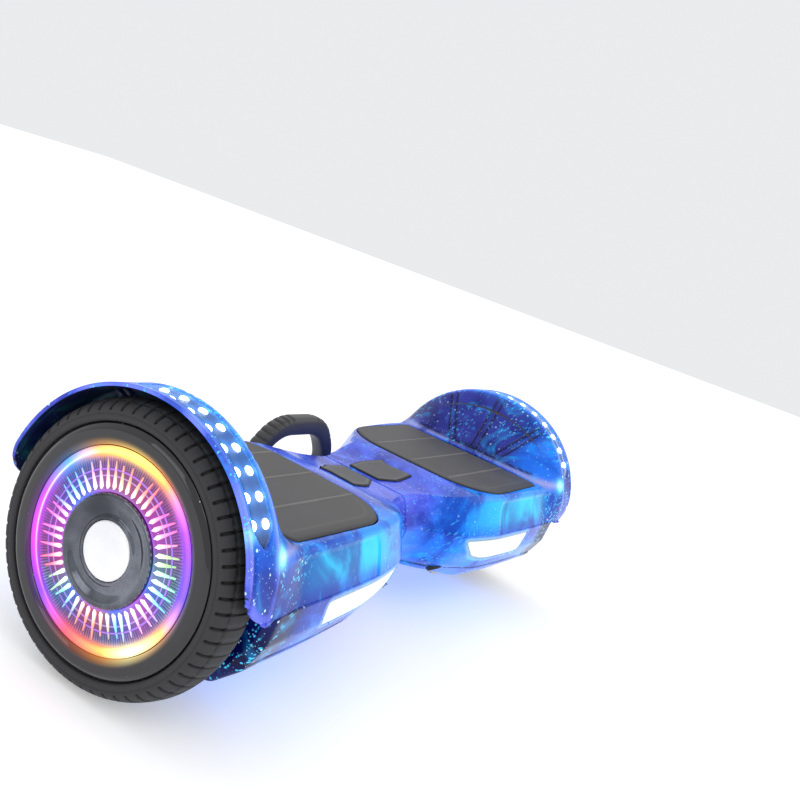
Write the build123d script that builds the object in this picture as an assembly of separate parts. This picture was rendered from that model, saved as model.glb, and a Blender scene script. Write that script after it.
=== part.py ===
from build123d import *
import os
from math import cos, radians, sin

# Self-balancing board: two foot platforms on one pivot shaft, with a hub-motor wheel at each end.
# X runs along the wheel axles and the pivot, the front faces -Y, Z is up and the floor is z = 0.
# Every right-hand piece is drawn at +X, and the left-hand piece is its mirror image.

# ---- driving dimensions, mm
half_length = 292.0          # middle of the board to the face of a wheel
tyre_radius = 85.0
tyre_width = 33.0
fender_gap = 8.0             # tyre tread to the outside of the fender
wall = 2.5                   # moulded shells
groove_depth = 0.7
line_width = 1.2             # panel lines
wall_line_angles = (-32.0, 0.0, 32.0)
wall_line_offset = 2.2       # middle of a pair of lines to each line
half_gap = 0.6               # middle plane to the end of each half
seam_gap = 0.4               # between an upper and a lower shell
platform_rise = 32.0         # axle to the top of the platform
belly_drop = 57.0            # axle to the underside
crease_inset = 10.0          # seam edge to the crease under the platform's top
crease_drop = 2.5
top_inset = 13.0
side_levels = ((0.655, 2.0), (0.31, 11.0), (0.035, 27.0))   # share of the belly's depth, inset
waist_inset = 33.0           # fender radius to the rear of the waist beside the handle
platform_inset = 2.0         # fender radius to the edge of the platform at the ramp
fender_corner = 18.0         # rounding of the fender's lower outer corner
skirt = 12.0                 # how far the open forms run past the seam

# ---- fits
running = 0.05               # radial clearance of a turning fit
slip = 0.15                  # clearance round a piece that is only located
pad_clearance = 0.4          # round a foot pad in its tray
seat = 0.3                   # gap left between two pieces that rest on each other
press_bond = 0.02            # bearing seats, pressed home
shell_hole_gap = 0.6         # round the pivot shaft where it leaves a shell
axle_hole_gap = 0.8          # round an axle where it leaves a shell
handle_gap = 2.5             # waist to the front face of the handle

# ---- wheel
hub_cover_depth = 5.0
rim_radius = 66.0
rim_wall = 6.0
flange_radius = 70.5
hub_cover_radius = 71.0
light_ring_outer = 58.0
light_ring_inner = 32.0
bearing_width = 6.0
inner_bearing_radius = 14.0
outer_bearing_radius = 12.0
axle_radius = 8.0
axle_nose_radius = 6.0
stator_radius = 55.9
magnet_thickness = 3.4
stator_slots = 27
stator_slot_half = 1.3
stator_slot_depth = 14.0
shoulder_radius = 7.0
tread_notches = 36
notch_depth = 1.6
notch_half_width = 1.1
notch_half_length = 5.0

# ---- pivot and chassis
pivot_radius = 14.0
pivot_bore = 9.0
pivot_reach = 62.0           # middle plane to the end of the shaft
boss_radius = 20.0
bush_wall = 2.0
bush_length = 15.0
bush_flange = 1.5
flange_gap = 0.4             # end wall of a shell to the flange of a bush
deck_thickness = 4.0
deck_drop = 15.0             # axle to the underside of the deck
deck_half_width = 56.0
neck_half_width = 38.0
screw_radius = 2.0
screw_head_radius = 3.8
post_radius = 5.5
axle_block_half = 22.0
clamp_height = 14.0
battery_height = 28.0

# ---- foot pads
pad_proud = 2.0
pad_thickness = 6.0
pad_travel = 1.5
pad_inner_x = 82.0
pad_half_depth = 72.0
pad_corner = 44.0
pad_outer_corner = 6.0
plunger_radius = 4.0
plunger_y = 26.0
centre_pad_corners = ((5.5, -11), (24, -19), (52, -19), (49, 5), (54, 12), (30, 19), (5.5, 17))
centre_pad_thickness = 1.6
pad_rib_ys = (-36.0, 0.0, 36.0)
pad_rib_half = 0.8

# ---- lights
led_strip_half_width = 9.5
led_radius = 2.6
led_pair_spacing = 12.0
led_pairs = 8
led_first_angle = 34.0
led_last_angle = 99.0
strip_tip_lead = 8.0         # degrees from the first lamps to the tip of the strip
strip_full_lead = 2.5        # degrees from the first lamps to the full width
window_thickness = 1.2
headlight_start = 64.0       # pointed inner end, where the waist begins
headlight_end = 186.0
headlight_sweep = 40.0       # length of the lower edge's sweep up to the point
headlight_tip = 8.0          # height of the blunt point
headlight_corner = 10.0      # cut at the lower outer corner
headlight_top_drop = 3.0     # seam to the top of the headlight
headlight_height = 21.0
headlight_chips = 9
lamp_reach = 18.0            # edge of the deck to the headlight board

# ---- handle
handle_depth = 14.0
handle_half_span = 66.0
handle_top = 50.0            # axle to the top of the handle
handle_band = 16.0
handle_foot_thickness = 7.5
grip_slots = 6
grip_half_span = 32.0
grip_slot_depth = 1.4
handle_screw_xs = (26.0, 52.0)
handle_boss_radius = 6.5
handle_boss_root = 8.0       # length of a boss inside the deck

# ---- power button and charging socket
button_x = 66.0
button_radius = 6.0
button_proud = 1.6
socket_x = 150.0
socket_flange = 2.5          # flange beyond the barrel
socket_flange_thickness = 1.8
socket_bore_radius = 7.0
socket_depth = 11.0
socket_wall = 2.0

# ---- places that follow
axle_height = tyre_radius
fender_radius = tyre_radius + fender_gap
wheel_face = half_length - hub_cover_depth
tyre_outer_x = half_length - 1.0
tyre_inner_x = tyre_outer_x - tyre_width
fender_outer_x = half_length - 4.0
arch_x = tyre_inner_x
platform_end = tyre_inner_x - 8.0
ramp_foot = tyre_inner_x - 36.0
seam_height = axle_height + 1.0
platform_top = axle_height + platform_rise
belly = axle_height - belly_drop
deck_bottom = axle_height - deck_drop
deck_top = deck_bottom + deck_thickness
pad_outer_x = ramp_foot - 1.0
tray_floor = platform_top + pad_proud - pad_thickness - pad_travel - seat
strip_centre = (arch_x + fender_outer_x) / 2 - 0.5
post_xs = (pad_inner_x + 18.0, ramp_foot - 32.0)
post_y = deck_half_width - 8.0
handle_front = fender_radius - waist_inset + handle_gap
boss_start = half_gap + wall + flange_gap + bush_flange
headlight_board_span = (headlight_start + headlight_sweep + 6, headlight_end - headlight_corner - 4)
strip_low_angle = led_first_angle - strip_tip_lead
strip_high_angle = led_last_angle + 5.0
pivot_axis = Axis((0, 0, axle_height), (1, 0, 0))


# ---- plain solids

def block(x0, x1, y0, y1, z0, z1):
    """Box between two corners."""
    middle = Pos((x0 + x1) / 2, (y0 + y1) / 2, (z0 + z1) / 2)
    return middle * Box(x1 - x0, y1 - y0, z1 - z0)


def rod_x(radius, x0, x1, y=0.0, z=axle_height):
    """Cylinder along X."""
    return Pos((x0 + x1) / 2, y, z) * Rot(0, 90, 0) * Cylinder(radius, x1 - x0)


def rod_y(radius, y0, y1, x, z):
    """Cylinder along Y."""
    return Pos(x, (y0 + y1) / 2, z) * Rot(90, 0, 0) * Cylinder(radius, y1 - y0)


def rod_z(radius, z0, z1, x, y):
    """Cylinder along Z."""
    return Pos(x, y, (z0 + z1) / 2) * Cylinder(radius, z1 - z0)


def turned(profile):
    """Solid of revolution about the axle from (x, radius) points."""
    points = [(x, axle_height + radius) for x, radius in profile]
    face = Plane.XZ * make_face(Polyline(*points, close=True))
    return revolve(face, axis=pivot_axis)


def washer(outer, inner, x0, x1):
    """Flat ring about the axle."""
    return turned([(x0, inner), (x0, outer), (x1, outer), (x1, inner)])


def plan_plate(outline, z0, z1):
    """Plate from a plan outline."""
    return extrude(Pos(0, 0, z0) * outline, z1 - z0)


# ---- the outer form: sections across X

def knots():
    """Chosen sections of a half: x, front and rear half-widths, top and bottom heights."""
    full = fender_radius
    return [
        (half_gap, full - 43, full - 43, platform_top - 7, belly + 17),
        (28.0, full - 37, full - 38, platform_top - 6, belly + 17),
        (46.0, full - 25, full - 34.5, platform_top - 4, belly + 15.5),
        (62.0, full - 16, full - waist_inset, platform_top - 1.5, belly + 14),
        (80.0, full - 11.5, full - 25, platform_top, belly + 11.5),
        (125.0, full - 5.5, full - 7, platform_top, belly + 3),
        (ramp_foot, full - platform_inset, full - platform_inset, platform_top, belly),
    ]


def slope_at(rows, index, column):
    """Slope of a column at a knot: the harmonic mean of its two neighbours, so it never overshoots."""
    if index in (0, len(rows) - 1):
        return 0.0
    before = (rows[index][column] - rows[index - 1][column]) / (rows[index][0] - rows[index - 1][0])
    after = (rows[index + 1][column] - rows[index][column]) / (rows[index + 1][0] - rows[index][0])
    if before * after <= 0:
        return 0.0
    return 2 * before * after / (before + after)


def stations():
    """The chosen sections with smoothly curved ones between them."""
    rows = knots()
    steps = 3
    result = []
    for index in range(len(rows) - 1):
        start, end = rows[index], rows[index + 1]
        span = end[0] - start[0]
        for step in range(steps):
            t = step / steps
            values = [start[0] + t * span]
            for column in range(1, 5):
                rise = span * slope_at(rows, index, column)
                settle = span * slope_at(rows, index + 1, column)
                value = start[column] * (2 * t**3 - 3 * t**2 + 1) + rise * (t**3 - 2 * t**2 + t)
                value = value + end[column] * (3 * t**2 - 2 * t**3) + settle * (t**3 - t**2)
                values.append(value)
            result.append(tuple(values))
    return result + [rows[-1]]


def section_face(x, points):
    """Face across X from (y, z) points."""
    return Plane.YZ.offset(x) * make_face(Polyline(*points, close=True))


def upper_points(front, rear, top, inset):
    """Upper outline of a section, from the front foot over the top to the rear foot."""
    front = front - inset
    rear = rear - inset
    top = top - inset
    base = axle_height - skirt
    return [
        (-front, base),
        (-front, seam_height),
        (-front + crease_inset, top - crease_drop),
        (-front + top_inset, top),
        (rear - top_inset, top),
        (rear - crease_inset, top - crease_drop),
        (rear, seam_height),
        (rear, base),
    ]


def lower_points(front, rear, bottom, inset):
    """Lower outline of a section, from the rear foot under the belly to the front foot."""
    front = front - inset
    rear = rear - inset
    bottom = bottom + inset
    depth = seam_height - bottom
    rim = seam_height + 4
    rear_side = [(rear - offset, bottom + share * depth) for share, offset in side_levels]
    front_side = [(-front + offset, bottom + share * depth) for share, offset in reversed(side_levels)]
    belly_rear = (rear - side_levels[-1][1] - 8, bottom)
    belly_front = (-front + side_levels[-1][1] + 8, bottom)
    return [(rear, rim), (rear, seam_height), *rear_side, belly_rear,
            belly_front, *front_side, (-front, seam_height), (-front, rim)]


def arch_face(x, radius):
    """Section of the fender: a half disc on short straight legs."""
    base = axle_height - skirt

    def at(angle):
        return (radius * cos(radians(angle)), axle_height + radius * sin(radians(angle)))

    stops = [180.0, 162.0, 158.0, 22.0, 18.0, 0.0]
    edges = [Line((-radius, base), at(180.0))]
    for start, end in zip(stops, stops[1:]):
        edges.append(ThreePointArc(at(start), at((start + end) / 2), at(end)))
    edges.append(Line(at(0.0), (radius, base)))
    edges.append(Line((radius, base), (-radius, base)))
    return Plane.YZ.offset(x) * make_face(edges)


def upper_form(inset):
    """Platform, ramp and fender as one closed form, moved in from the outside by an inset."""
    rows = stations()
    sections = []
    for index, (x, front, rear, top, _) in enumerate(rows):
        place = x + inset if index == 0 else x
        sections.append(section_face(place, upper_points(front, rear, top, inset)))
    platform = loft(sections, ruled=True)
    lean = inset * 1.15
    x, front, rear, top, _ = rows[-1]
    foot = section_face(ramp_foot, upper_points(front, rear, top, inset))
    arch = arch_face(arch_x + lean, fender_radius - inset)
    ramp = loft([foot, arch], ruled=True)
    hood = extrude(arch, fender_outer_x + 1 - arch_x - lean, dir=(1, 0, 0))
    return platform + ramp + hood


def lower_form(inset):
    """Underside as one closed form."""
    rows = stations()
    sections = []
    for index, (x, front, rear, _, bottom) in enumerate(rows):
        place = x + inset if index == 0 else x
        sections.append(section_face(place, lower_points(front, rear, bottom, inset)))
    last = rows[-1]
    end = section_face(platform_end - inset, lower_points(last[1] + 1.5, last[2] + 1.5, last[4], inset))
    return loft(sections + [end], ruled=True)


def fender_outline():
    """Side outline that keeps everything above the seam and rounds the fender's lower corner."""
    low = seam_height + seam_gap / 2
    radius = fender_corner
    right = fender_outer_x
    high = axle_height + fender_radius + 5
    edges = [
        Line((0, low), (right - radius, low)),
        RadiusArc((right - radius, low), (right, low + radius), -radius),
        Line((right, low + radius), (right, high)),
        Line((right, high), (0, high)),
        Line((0, high), (0, low)),
    ]
    face = Plane.XZ * make_face(edges)
    return extrude(face, fender_radius + 5, both=True)


def pad_outline(grow):
    """Plan of a foot pad: wide rounded corners towards the middle of the board."""
    long = pad_outer_x - pad_inner_x + 2 * grow
    deep = 2 * (pad_half_depth + grow)
    sheet = Pos((pad_outer_x + pad_inner_x) / 2, 0) * Rectangle(long, deep)
    inner = sheet.vertices().group_by(Axis.X)[0]
    sheet = fillet(inner, pad_corner + grow)
    outer = sheet.vertices().group_by(Axis.X)[-1]
    return fillet(outer, pad_outer_corner + grow)


def window_region(grow):
    """Prism over the fender's front quarter that bounds the light strip, pointed at its lower end."""
    half = led_strip_half_width + grow
    low = axle_height + fender_radius * sin(radians(strip_low_angle)) - grow
    full = axle_height + fender_radius * sin(radians(led_first_angle - strip_full_lead)) - grow
    high = axle_height + fender_radius + 5
    back = -fender_radius * cos(radians(strip_high_angle)) + grow
    points = [
        (strip_centre, low),
        (strip_centre + half, full),
        (strip_centre + half, high),
        (strip_centre - half, high),
        (strip_centre - half, full),
    ]
    face = Plane.XZ.offset(-back) * make_face(Polyline(*points, close=True))
    return extrude(face, fender_radius + 5 + back)


def headlight_region(grow):
    """Prism that bounds the headlight, a band that sweeps down to a point at its inner end."""
    top = seam_height - headlight_top_drop + grow
    bottom = seam_height - headlight_top_drop - headlight_height - grow
    start = headlight_start - grow
    end = headlight_end + grow
    face = Plane.XZ * make_face(Polyline(
        (start, top),
        (end, top),
        (end - headlight_corner / 2, bottom + headlight_corner / 5),
        (end - headlight_corner, bottom),
        (start + headlight_sweep, bottom),
        (start + headlight_sweep / 2, bottom + headlight_tip / 2),
        (start + headlight_tip, top - headlight_tip),
        close=True,
    ))
    return extrude(face, fender_radius + 5)


def wall_grooves():
    """Thin slabs that mark the panel lines of the upper shell."""
    thin = line_width / 2
    high = axle_height + fender_radius
    slabs = []
    for angle in wall_line_angles:
        for offset in (-wall_line_offset, wall_line_offset):
            slab = block(ramp_foot + 2, arch_x + 3, offset - thin, offset + thin, platform_top + 6, high)
            slabs.append(slab.rotate(pivot_axis, angle))
    slabs.append(block(ramp_foot, arch_x, -62, 62, platform_top + 5.0, platform_top + 5.0 + line_width))
    slabs.append(block(fender_outer_x - 5.5, fender_outer_x - 4.5, -fender_radius - 1, fender_radius + 1,
                       seam_height, high + 1))
    slabs.append(block(pad_inner_x + 34, ramp_foot + 4, -fender_radius, -pad_half_depth - 4,
                       seam_height + 4, platform_top - 4))
    return slabs


def screw_posts(z0, z1, radius):
    """One cylinder at each shell screw."""
    return [rod_z(radius, z0, z1, x, y) for x in post_xs for y in (-post_y, post_y)]


def upper_shell(outer, inner):
    """Top moulding of one half, with its pad tray, fender and light slot."""
    keep = fender_outline()
    tray = plan_plate(pad_outline(pad_clearance + wall), tray_floor - wall, platform_top) & outer
    bulkhead = block(platform_end - wall, platform_end, -fender_radius, fender_radius,
                     axle_height, axle_height + fender_radius) & outer
    posts = [post & outer for post in screw_posts(deck_top, tray_floor, post_radius)]
    shell = (outer - inner) + [tray, bulkhead, *posts]
    layer = outer - upper_form(groove_depth)
    cuts = [layer & slab for slab in wall_grooves()]
    cuts.append(plan_plate(pad_outline(pad_clearance), tray_floor, platform_top + 5))
    cuts.append(window_region(slip))
    cuts.append(rod_x(pivot_radius + shell_hole_gap, 0, wall * 2))
    cuts.append(rod_x(axle_radius + axle_hole_gap, platform_end - wall * 2, platform_end + 1))
    cuts.extend(screw_posts(deck_top - 1, tray_floor - wall - 1, screw_radius + running))
    for y in (-plunger_y, plunger_y):
        cuts.append(rod_z(plunger_radius + 0.3, tray_floor - wall - 1, tray_floor + 1, plunger_x(), y))
    return (shell & keep) - cuts


def plunger_x():
    """Middle of the foot pad."""
    return (pad_inner_x + pad_outer_x) / 2


def lower_shell(outer, inner):
    """Bottom moulding of one half, open for the headlight and its screws."""
    keep = block(0, half_length, -fender_radius, fender_radius, 0, seam_height - seam_gap / 2)
    posts = [post & outer for post in screw_posts(belly, deck_bottom, post_radius)]
    shell = (outer - inner) + posts
    slab = block(30, platform_end + 1, -fender_radius - 1, fender_radius + 1, belly + 22, belly + 23)
    cuts = [(outer - lower_form(groove_depth)) & slab]
    cuts.append(headlight_region(slip))
    cuts.extend(screw_posts(0, deck_bottom + 1, screw_radius + running))
    cuts.extend(screw_posts(0, belly + 8, screw_head_radius + slip))
    cuts.append(rod_x(pivot_radius + shell_hole_gap, 0, wall * 2))
    cuts.append(rod_x(axle_radius + axle_hole_gap, platform_end - wall * 2, platform_end + 1))
    return (shell & keep) - cuts


def headlight_lens(outer, inner):
    """Clear lens that fills the headlight opening, flush with the shell."""
    return (outer - inner) & headlight_region(0)


def headlight_board():
    """Light board behind the lens, with a row of chips."""
    front = -(deck_half_width + lamp_reach)
    top = seam_height - 6
    start, end = headlight_board_span
    board = block(start, end, front - 1.6, front, top - 16, top)
    step = (end - start - 8) / (headlight_chips - 1)
    for index in range(headlight_chips):
        x = start + 4 + index * step
        board = board + block(x - 1.8, x + 1.8, front - 2.4, front - 1.5, top - 9.8, top - 6.2)
    return board


# ---- fender lights

def led_angles():
    """Angles of the light pairs above the front horizontal."""
    step = (led_last_angle - led_first_angle) / (led_pairs - 1)
    return [led_first_angle + step * index for index in range(led_pairs)]


def fender_window():
    """Tinted strip over the fender lights."""
    band = washer(fender_radius, fender_radius - window_thickness,
                  strip_centre - led_strip_half_width - 1, strip_centre + led_strip_half_width + 1)
    return band & window_region(0)


def fender_lights():
    """Curved light board with its pairs of lamps."""
    top = fender_radius - window_thickness - 0.2
    board = washer(top - 1.2, top - 2.0, strip_centre - led_strip_half_width + 0.5,
                   strip_centre + led_strip_half_width - 0.5)
    lights = board & window_region(-0.6)
    for angle in led_angles():
        for offset in (-led_pair_spacing / 2, led_pair_spacing / 2):
            lamp = rod_z(led_radius, axle_height + top - 1.6, axle_height + top, strip_centre + offset, 0)
            lights = lights + lamp.rotate(pivot_axis, 90 - angle)
    return lights


# ---- chassis and pivot

def chassis():
    """Cast frame of one half: deck, pivot boss and axle seat."""
    deck = block(14, platform_end - 4, -deck_half_width, deck_half_width, deck_bottom, deck_top)
    for side in (-1, 1):
        inner, outer = sorted((side * neck_half_width, side * (deck_half_width + 1)))
        deck = deck - block(0, 70, inner, outer, deck_bottom - 1, deck_top + 1)
    boss = rod_x(boss_radius, boss_start, pivot_reach - 2)
    foot = block(boss_start + 3, pivot_reach - 2, -boss_radius, boss_radius, deck_bottom, axle_height - 8)
    rest_start, rest_end = headlight_board_span
    lamp_rest = block(rest_start + 2, rest_end - 4, -deck_half_width - lamp_reach + running,
                      -deck_half_width + 1, deck_bottom, deck_top)
    cradle = block(post_xs[1] + 12, platform_end - 6, -axle_block_half, axle_block_half,
                   deck_bottom, axle_height)
    frame = deck + [boss, foot, lamp_rest, cradle]
    for x in (plunger_x() - 28, plunger_x() + 28):
        for y in (-24.0, 24.0):
            frame = frame + rod_z(3.0, deck_top - 1, axle_height - 1, x, y)
    frame = frame - rod_x(axle_radius + running, post_xs[1] + 11, platform_end)
    frame = frame - rod_x(boss_radius, pivot_reach - 2, pivot_reach + 10)
    for hole in screw_posts(deck_bottom - 1, deck_top + 1, screw_radius + slip):
        frame = frame - hole
    for x, y in clamp_points():
        frame = frame - rod_z(screw_radius + running, deck_bottom - 1, axle_height + 1, x, y)
    return frame


def clamp_points():
    """Places of the four axle clamp screws."""
    left = post_xs[1] + 19
    right = platform_end - 13
    return [(x, y) for x in (left, right) for y in (-15.0, 15.0)]


def axle():
    """Fixed axle: round, with a flat where the clamp holds it and a thin nose for the outer bearing."""
    nose = wheel_face - 2.5
    body = rod_x(axle_radius, post_xs[1] + 14, nose - bearing_width - 1)
    body = body + rod_x(axle_nose_radius, nose - bearing_width - 2, nose - 0.5)
    flat = block(post_xs[1], platform_end - 6, -axle_radius, axle_radius,
                 axle_height + axle_radius - 1.5, axle_height + axle_radius + 1)
    return body - flat


def axle_clamp():
    """Cap that holds the axle down on its seat."""
    low = axle_height + seat
    cap = block(post_xs[1] + 14, platform_end - 8, -axle_block_half, axle_block_half, low, low + clamp_height)
    slot = rod_x(axle_radius + running, post_xs[1], platform_end)
    slot = slot - block(0, half_length, -30, 30, axle_height + axle_radius - 1.5 + running, axle_height + 40)
    cap = cap - slot
    for x, y in clamp_points():
        cap = cap - rod_z(screw_radius + slip, low - 1, low + clamp_height + 1, x, y)
    top_edges = cap.edges().group_by(Axis.Z)[-1].filter_by(Axis.X)
    return chamfer(top_edges, 4.0)


def clamp_screws():
    """Four hexagon-head screws through the clamp."""
    low = axle_height + seat
    screws = Part()
    for x, y in clamp_points():
        shank = rod_z(screw_radius, deck_bottom + 1, low + clamp_height + 1, x, y)
        head = Pos(x, y, low + clamp_height) * extrude(RegularPolygon(3.4, 6), 3.0)
        screws = screws + (shank + head)
    return screws


def shell_screws():
    """Four long screws that pull the two shells onto the deck."""
    top = tray_floor - wall - 3
    screws = Part()
    for x in post_xs:
        for y in (-post_y, post_y):
            head_top = belly + 8 - slip
            shank = rod_z(screw_radius, head_top - 1, top, x, y)
            head = rod_z(screw_head_radius, head_top - 2.4, head_top, x, y)
            drive = Pos(x, y, head_top - 2.5) * extrude(RegularPolygon(1.6, 6), 1.4)
            screws = screws + (shank + head - drive)
    return screws


def pivot_shaft():
    """Hollow shaft that joins the halves: clamped in the left boss, turning in the right one."""
    shaft = rod_x(pivot_radius, -pivot_reach, pivot_reach + 6)
    shaft = shaft - rod_x(pivot_bore, -pivot_reach - 1, pivot_reach + 7)
    groove_x = pivot_reach - 0.3
    groove = washer(pivot_radius + 1, pivot_radius - 1, groove_x, groove_x + 1.3)
    return shaft - groove


def pivot_bushes():
    """Two flanged bushes in the right boss."""
    bore = pivot_radius + running
    bushes = Part()
    inner_end = pivot_reach - 2
    places = ((boss_start, boss_start - bush_flange), (inner_end - bush_length, inner_end))
    for start, flange in places:
        sleeve = washer(pivot_radius + bush_wall, bore, start, start + bush_length)
        collar = washer(boss_radius - 1.5, bore, flange, flange + bush_flange)
        bushes = bushes + (sleeve + collar)
    return bushes


def pivot_circlip():
    """Snap ring in the shaft's groove."""
    start = pivot_reach - 0.2
    ring = washer(pivot_radius + 3, pivot_radius - 1 + running, start, start + 1.1)
    return ring - block(start - 1, start + 3, -4, 4, axle_height - pivot_radius - 6, axle_height)


# ---- wheel

def tyre():
    """Solid tyre with notched shoulders."""
    inner = tyre_inner_x
    outer = tyre_outer_x
    profile = [
        (inner, flange_radius - 1.3),
        (inner, tyre_radius),
        (outer, tyre_radius),
        (outer, hub_cover_radius + 0.2),
        (wheel_face - 2.1, hub_cover_radius + 0.2),
        (wheel_face - 2.1, rim_radius),
        (inner + 2.6, rim_radius),
        (inner + 2.6, flange_radius - 1.3),
    ]
    body = turned(profile)
    shoulders = [edge for edge in body.edges().filter_by(GeomType.CIRCLE) if edge.radius > tyre_radius - 0.1]
    body = fillet(shoulders, shoulder_radius)
    floor = axle_height + tyre_radius - notch_depth
    notches = []
    for index in range(tread_notches):
        angle = 360.0 * index / tread_notches
        for middle in (inner + 3.5, outer - 3.5):
            notch = block(middle - notch_half_length, middle + notch_half_length,
                          -notch_half_width, notch_half_width, floor, floor + 2 * notch_depth)
            notches.append(notch.rotate(pivot_axis, angle))
    return body - notches


def motor_rim():
    """Motor shell and wheel rim in one casting."""
    inner = tyre_inner_x + 0.4
    face = wheel_face
    bore = rim_radius - rim_wall
    boss = outer_bearing_radius + 4
    bearing = face - 2.5
    return turned([
        (inner, bore),
        (inner, flange_radius - 1.5),
        (inner + 2.0, flange_radius - 1.5),
        (inner + 2.0, rim_radius - slip),
        (face - 2.0, rim_radius - slip),
        (face - 2.0, flange_radius),
        (face, flange_radius),
        (face, 0),
        (bearing, 0),
        (bearing, outer_bearing_radius + press_bond),
        (bearing - bearing_width, outer_bearing_radius + press_bond),
        (bearing - bearing_width, boss),
        (bearing, boss + 2),
        (bearing, bore),
    ])


def motor_cover():
    """Inner side plate of the motor, with the large bearing's seat."""
    inner = tyre_inner_x + 0.4
    bore = inner_bearing_radius + press_bond
    edge = rim_radius - rim_wall - slip
    return turned([
        (inner, bore),
        (inner, edge),
        (inner + 3.0, edge),
        (inner + 3.0, inner_bearing_radius + 5),
        (inner + 7.0, inner_bearing_radius + 3.5),
        (inner + 7.0, bore),
    ])


def magnet_ring():
    """Magnets lining the motor shell."""
    outer = rim_radius - rim_wall - slip / 2
    return washer(outer, outer - magnet_thickness, tyre_inner_x + 5, wheel_face - 8)


def wheel_bearings():
    """Two ball bearings, drawn as plain rings."""
    inner = tyre_inner_x + 1.0
    nose = wheel_face - 2.5 - bearing_width
    large = washer(inner_bearing_radius, axle_radius + running, inner, inner + bearing_width)
    small = washer(outer_bearing_radius, axle_nose_radius + running, nose, nose + bearing_width)
    return Part() + large + small


def stator():
    """Wound core fixed on the axle."""
    left = tyre_inner_x + 8
    right = wheel_face - 10.5
    core = washer(stator_radius, axle_radius, left, right)
    rim = axle_height + stator_radius
    slot = block(left - 1, right + 1, -stator_slot_half, stator_slot_half, rim - stator_slot_depth, rim + 1)
    return core - [slot.rotate(pivot_axis, 360.0 * index / stator_slots) for index in range(stator_slots)]


def hub_cover():
    """Black outer ring of the wheel's face."""
    return turned([
        (wheel_face, light_ring_outer),
        (wheel_face, hub_cover_radius),
        (wheel_face + 2.6, hub_cover_radius),
        (half_length, hub_cover_radius - 3),
        (half_length, light_ring_outer + 3),
        (half_length - 1.6, light_ring_outer),
    ])


def light_ring():
    """Clear ring over the wheel lights."""
    return washer(light_ring_outer - slip, light_ring_inner + slip, wheel_face, wheel_face + 2.6)


def hub_cap():
    """Bright cap with a dished border and a plain centre disc."""
    disc = 17.5
    return turned([
        (wheel_face, 0),
        (wheel_face, light_ring_inner),
        (half_length - 0.8, light_ring_inner),
        (half_length, light_ring_inner - 1.2),
        (half_length, light_ring_inner - 3.5),
        (half_length - 2.2, disc + 2),
        (half_length - 1.0, disc),
        (half_length - 1.0, 0),
    ])


# ---- foot pads

def foot_pad():
    """Rubber foot pad with three raised ribs."""
    top = platform_top + pad_proud
    pad = plan_plate(pad_outline(0), top - pad_thickness, top - 0.8)
    pad = chamfer(pad.edges().group_by(Axis.Z)[-1], 1.0)
    cap = plan_plate(pad_outline(-3.0), top - 1.0, top - 0.8)
    pad = pad + cap
    for y in pad_rib_ys:
        rib = block(pad_inner_x + 6, pad_outer_x - 4, y - pad_rib_half, y + pad_rib_half, top - 1.0, top)
        pad = pad + (rib & plan_plate(pad_outline(-4.0), top - 2, top + 1))
    return pad


def pad_plungers():
    """Two plungers under a foot pad."""
    top = platform_top + pad_proud - pad_thickness
    low = axle_height + 12
    plungers = Part()
    for y in (-plunger_y, plunger_y):
        plungers = plungers + rod_z(plunger_radius, low, top, plunger_x(), y)
    return plungers


def sensor_board():
    """Tilt sensor board with the two foot switches."""
    x = plunger_x()
    low = axle_height - 1 + 0.05
    board = block(x - 34, x + 34, -30, 30, low, low + 1.6)
    board = board + block(x - 6, x + 6, -6, 6, low + 1, low + 3.4)
    for y in (-plunger_y, plunger_y):
        for side in (-1, 1):
            prong = block(x - 7, x + 7, y + side * 3.6 - 1.2, y + side * 3.6 + 1.2, low + 1, low + 9)
            board = board + prong
    return board


def centre_pad(outer):
    """Thin grip pad beside the middle seam, laid on the shell."""
    low = platform_top - 12
    outline = make_face(Polyline(*centre_pad_corners, close=True))
    prism = plan_plate(outline, low, platform_top + 4)
    lifted = Pos(0, 0, centre_pad_thickness) * outer
    return (prism & lifted) - outer


# ---- contents of each half

def battery_pack():
    """Flat battery under the left deck."""
    case = block(pad_inner_x + 8, ramp_foot - 8, -40, 40, deck_bottom - seat - battery_height,
                 deck_bottom - seat)
    return fillet(case.edges().filter_by(Axis.X), 6.0)


def main_board():
    """Motor control board under the right deck, with its heat sink and capacitors."""
    left = pad_inner_x + 10
    right = ramp_foot - 14
    top = deck_bottom - 6
    board = block(left, right, -38, 38, top - 1.6, top)
    for x in (left + 5, right - 5):
        for y in (-33, 33):
            board = board + rod_z(3.0, top - 1, deck_bottom, x, y)
    board = board + block(left + 8, right - 8, 22, 34, top - 14, top - 1)
    for index in range(4):
        board = board + rod_z(4.5, top - 16, top - 1, left + 14 + 14 * index, -24)
    return board


def handle_face():
    """Front view of the carry handle's loop."""
    low = axle_height + 1
    high = axle_height + handle_top
    span = handle_half_span
    band = handle_band
    outer = make_face(Polyline((-span, low), (-span, low + 16), (-span + 30, high), (span - 30, high),
                               (span, low + 16), (span, low), close=True))
    outer = fillet(outer.vertices().group_by(Axis.Y)[-1], 24.0)
    outer = fillet(outer.vertices().group_by(Axis.Y)[0], 5.0)
    inner = make_face(Polyline((-span + band, low + 12), (-span + band + 16, high - band),
                               (span - band - 16, high - band), (span - band, low + 12), close=True))
    inner = fillet(inner.vertices().group_by(Axis.Y)[-1], 12.0)
    inner = fillet(inner.vertices().group_by(Axis.Y)[0], 3.0)
    return outer - inner


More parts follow.
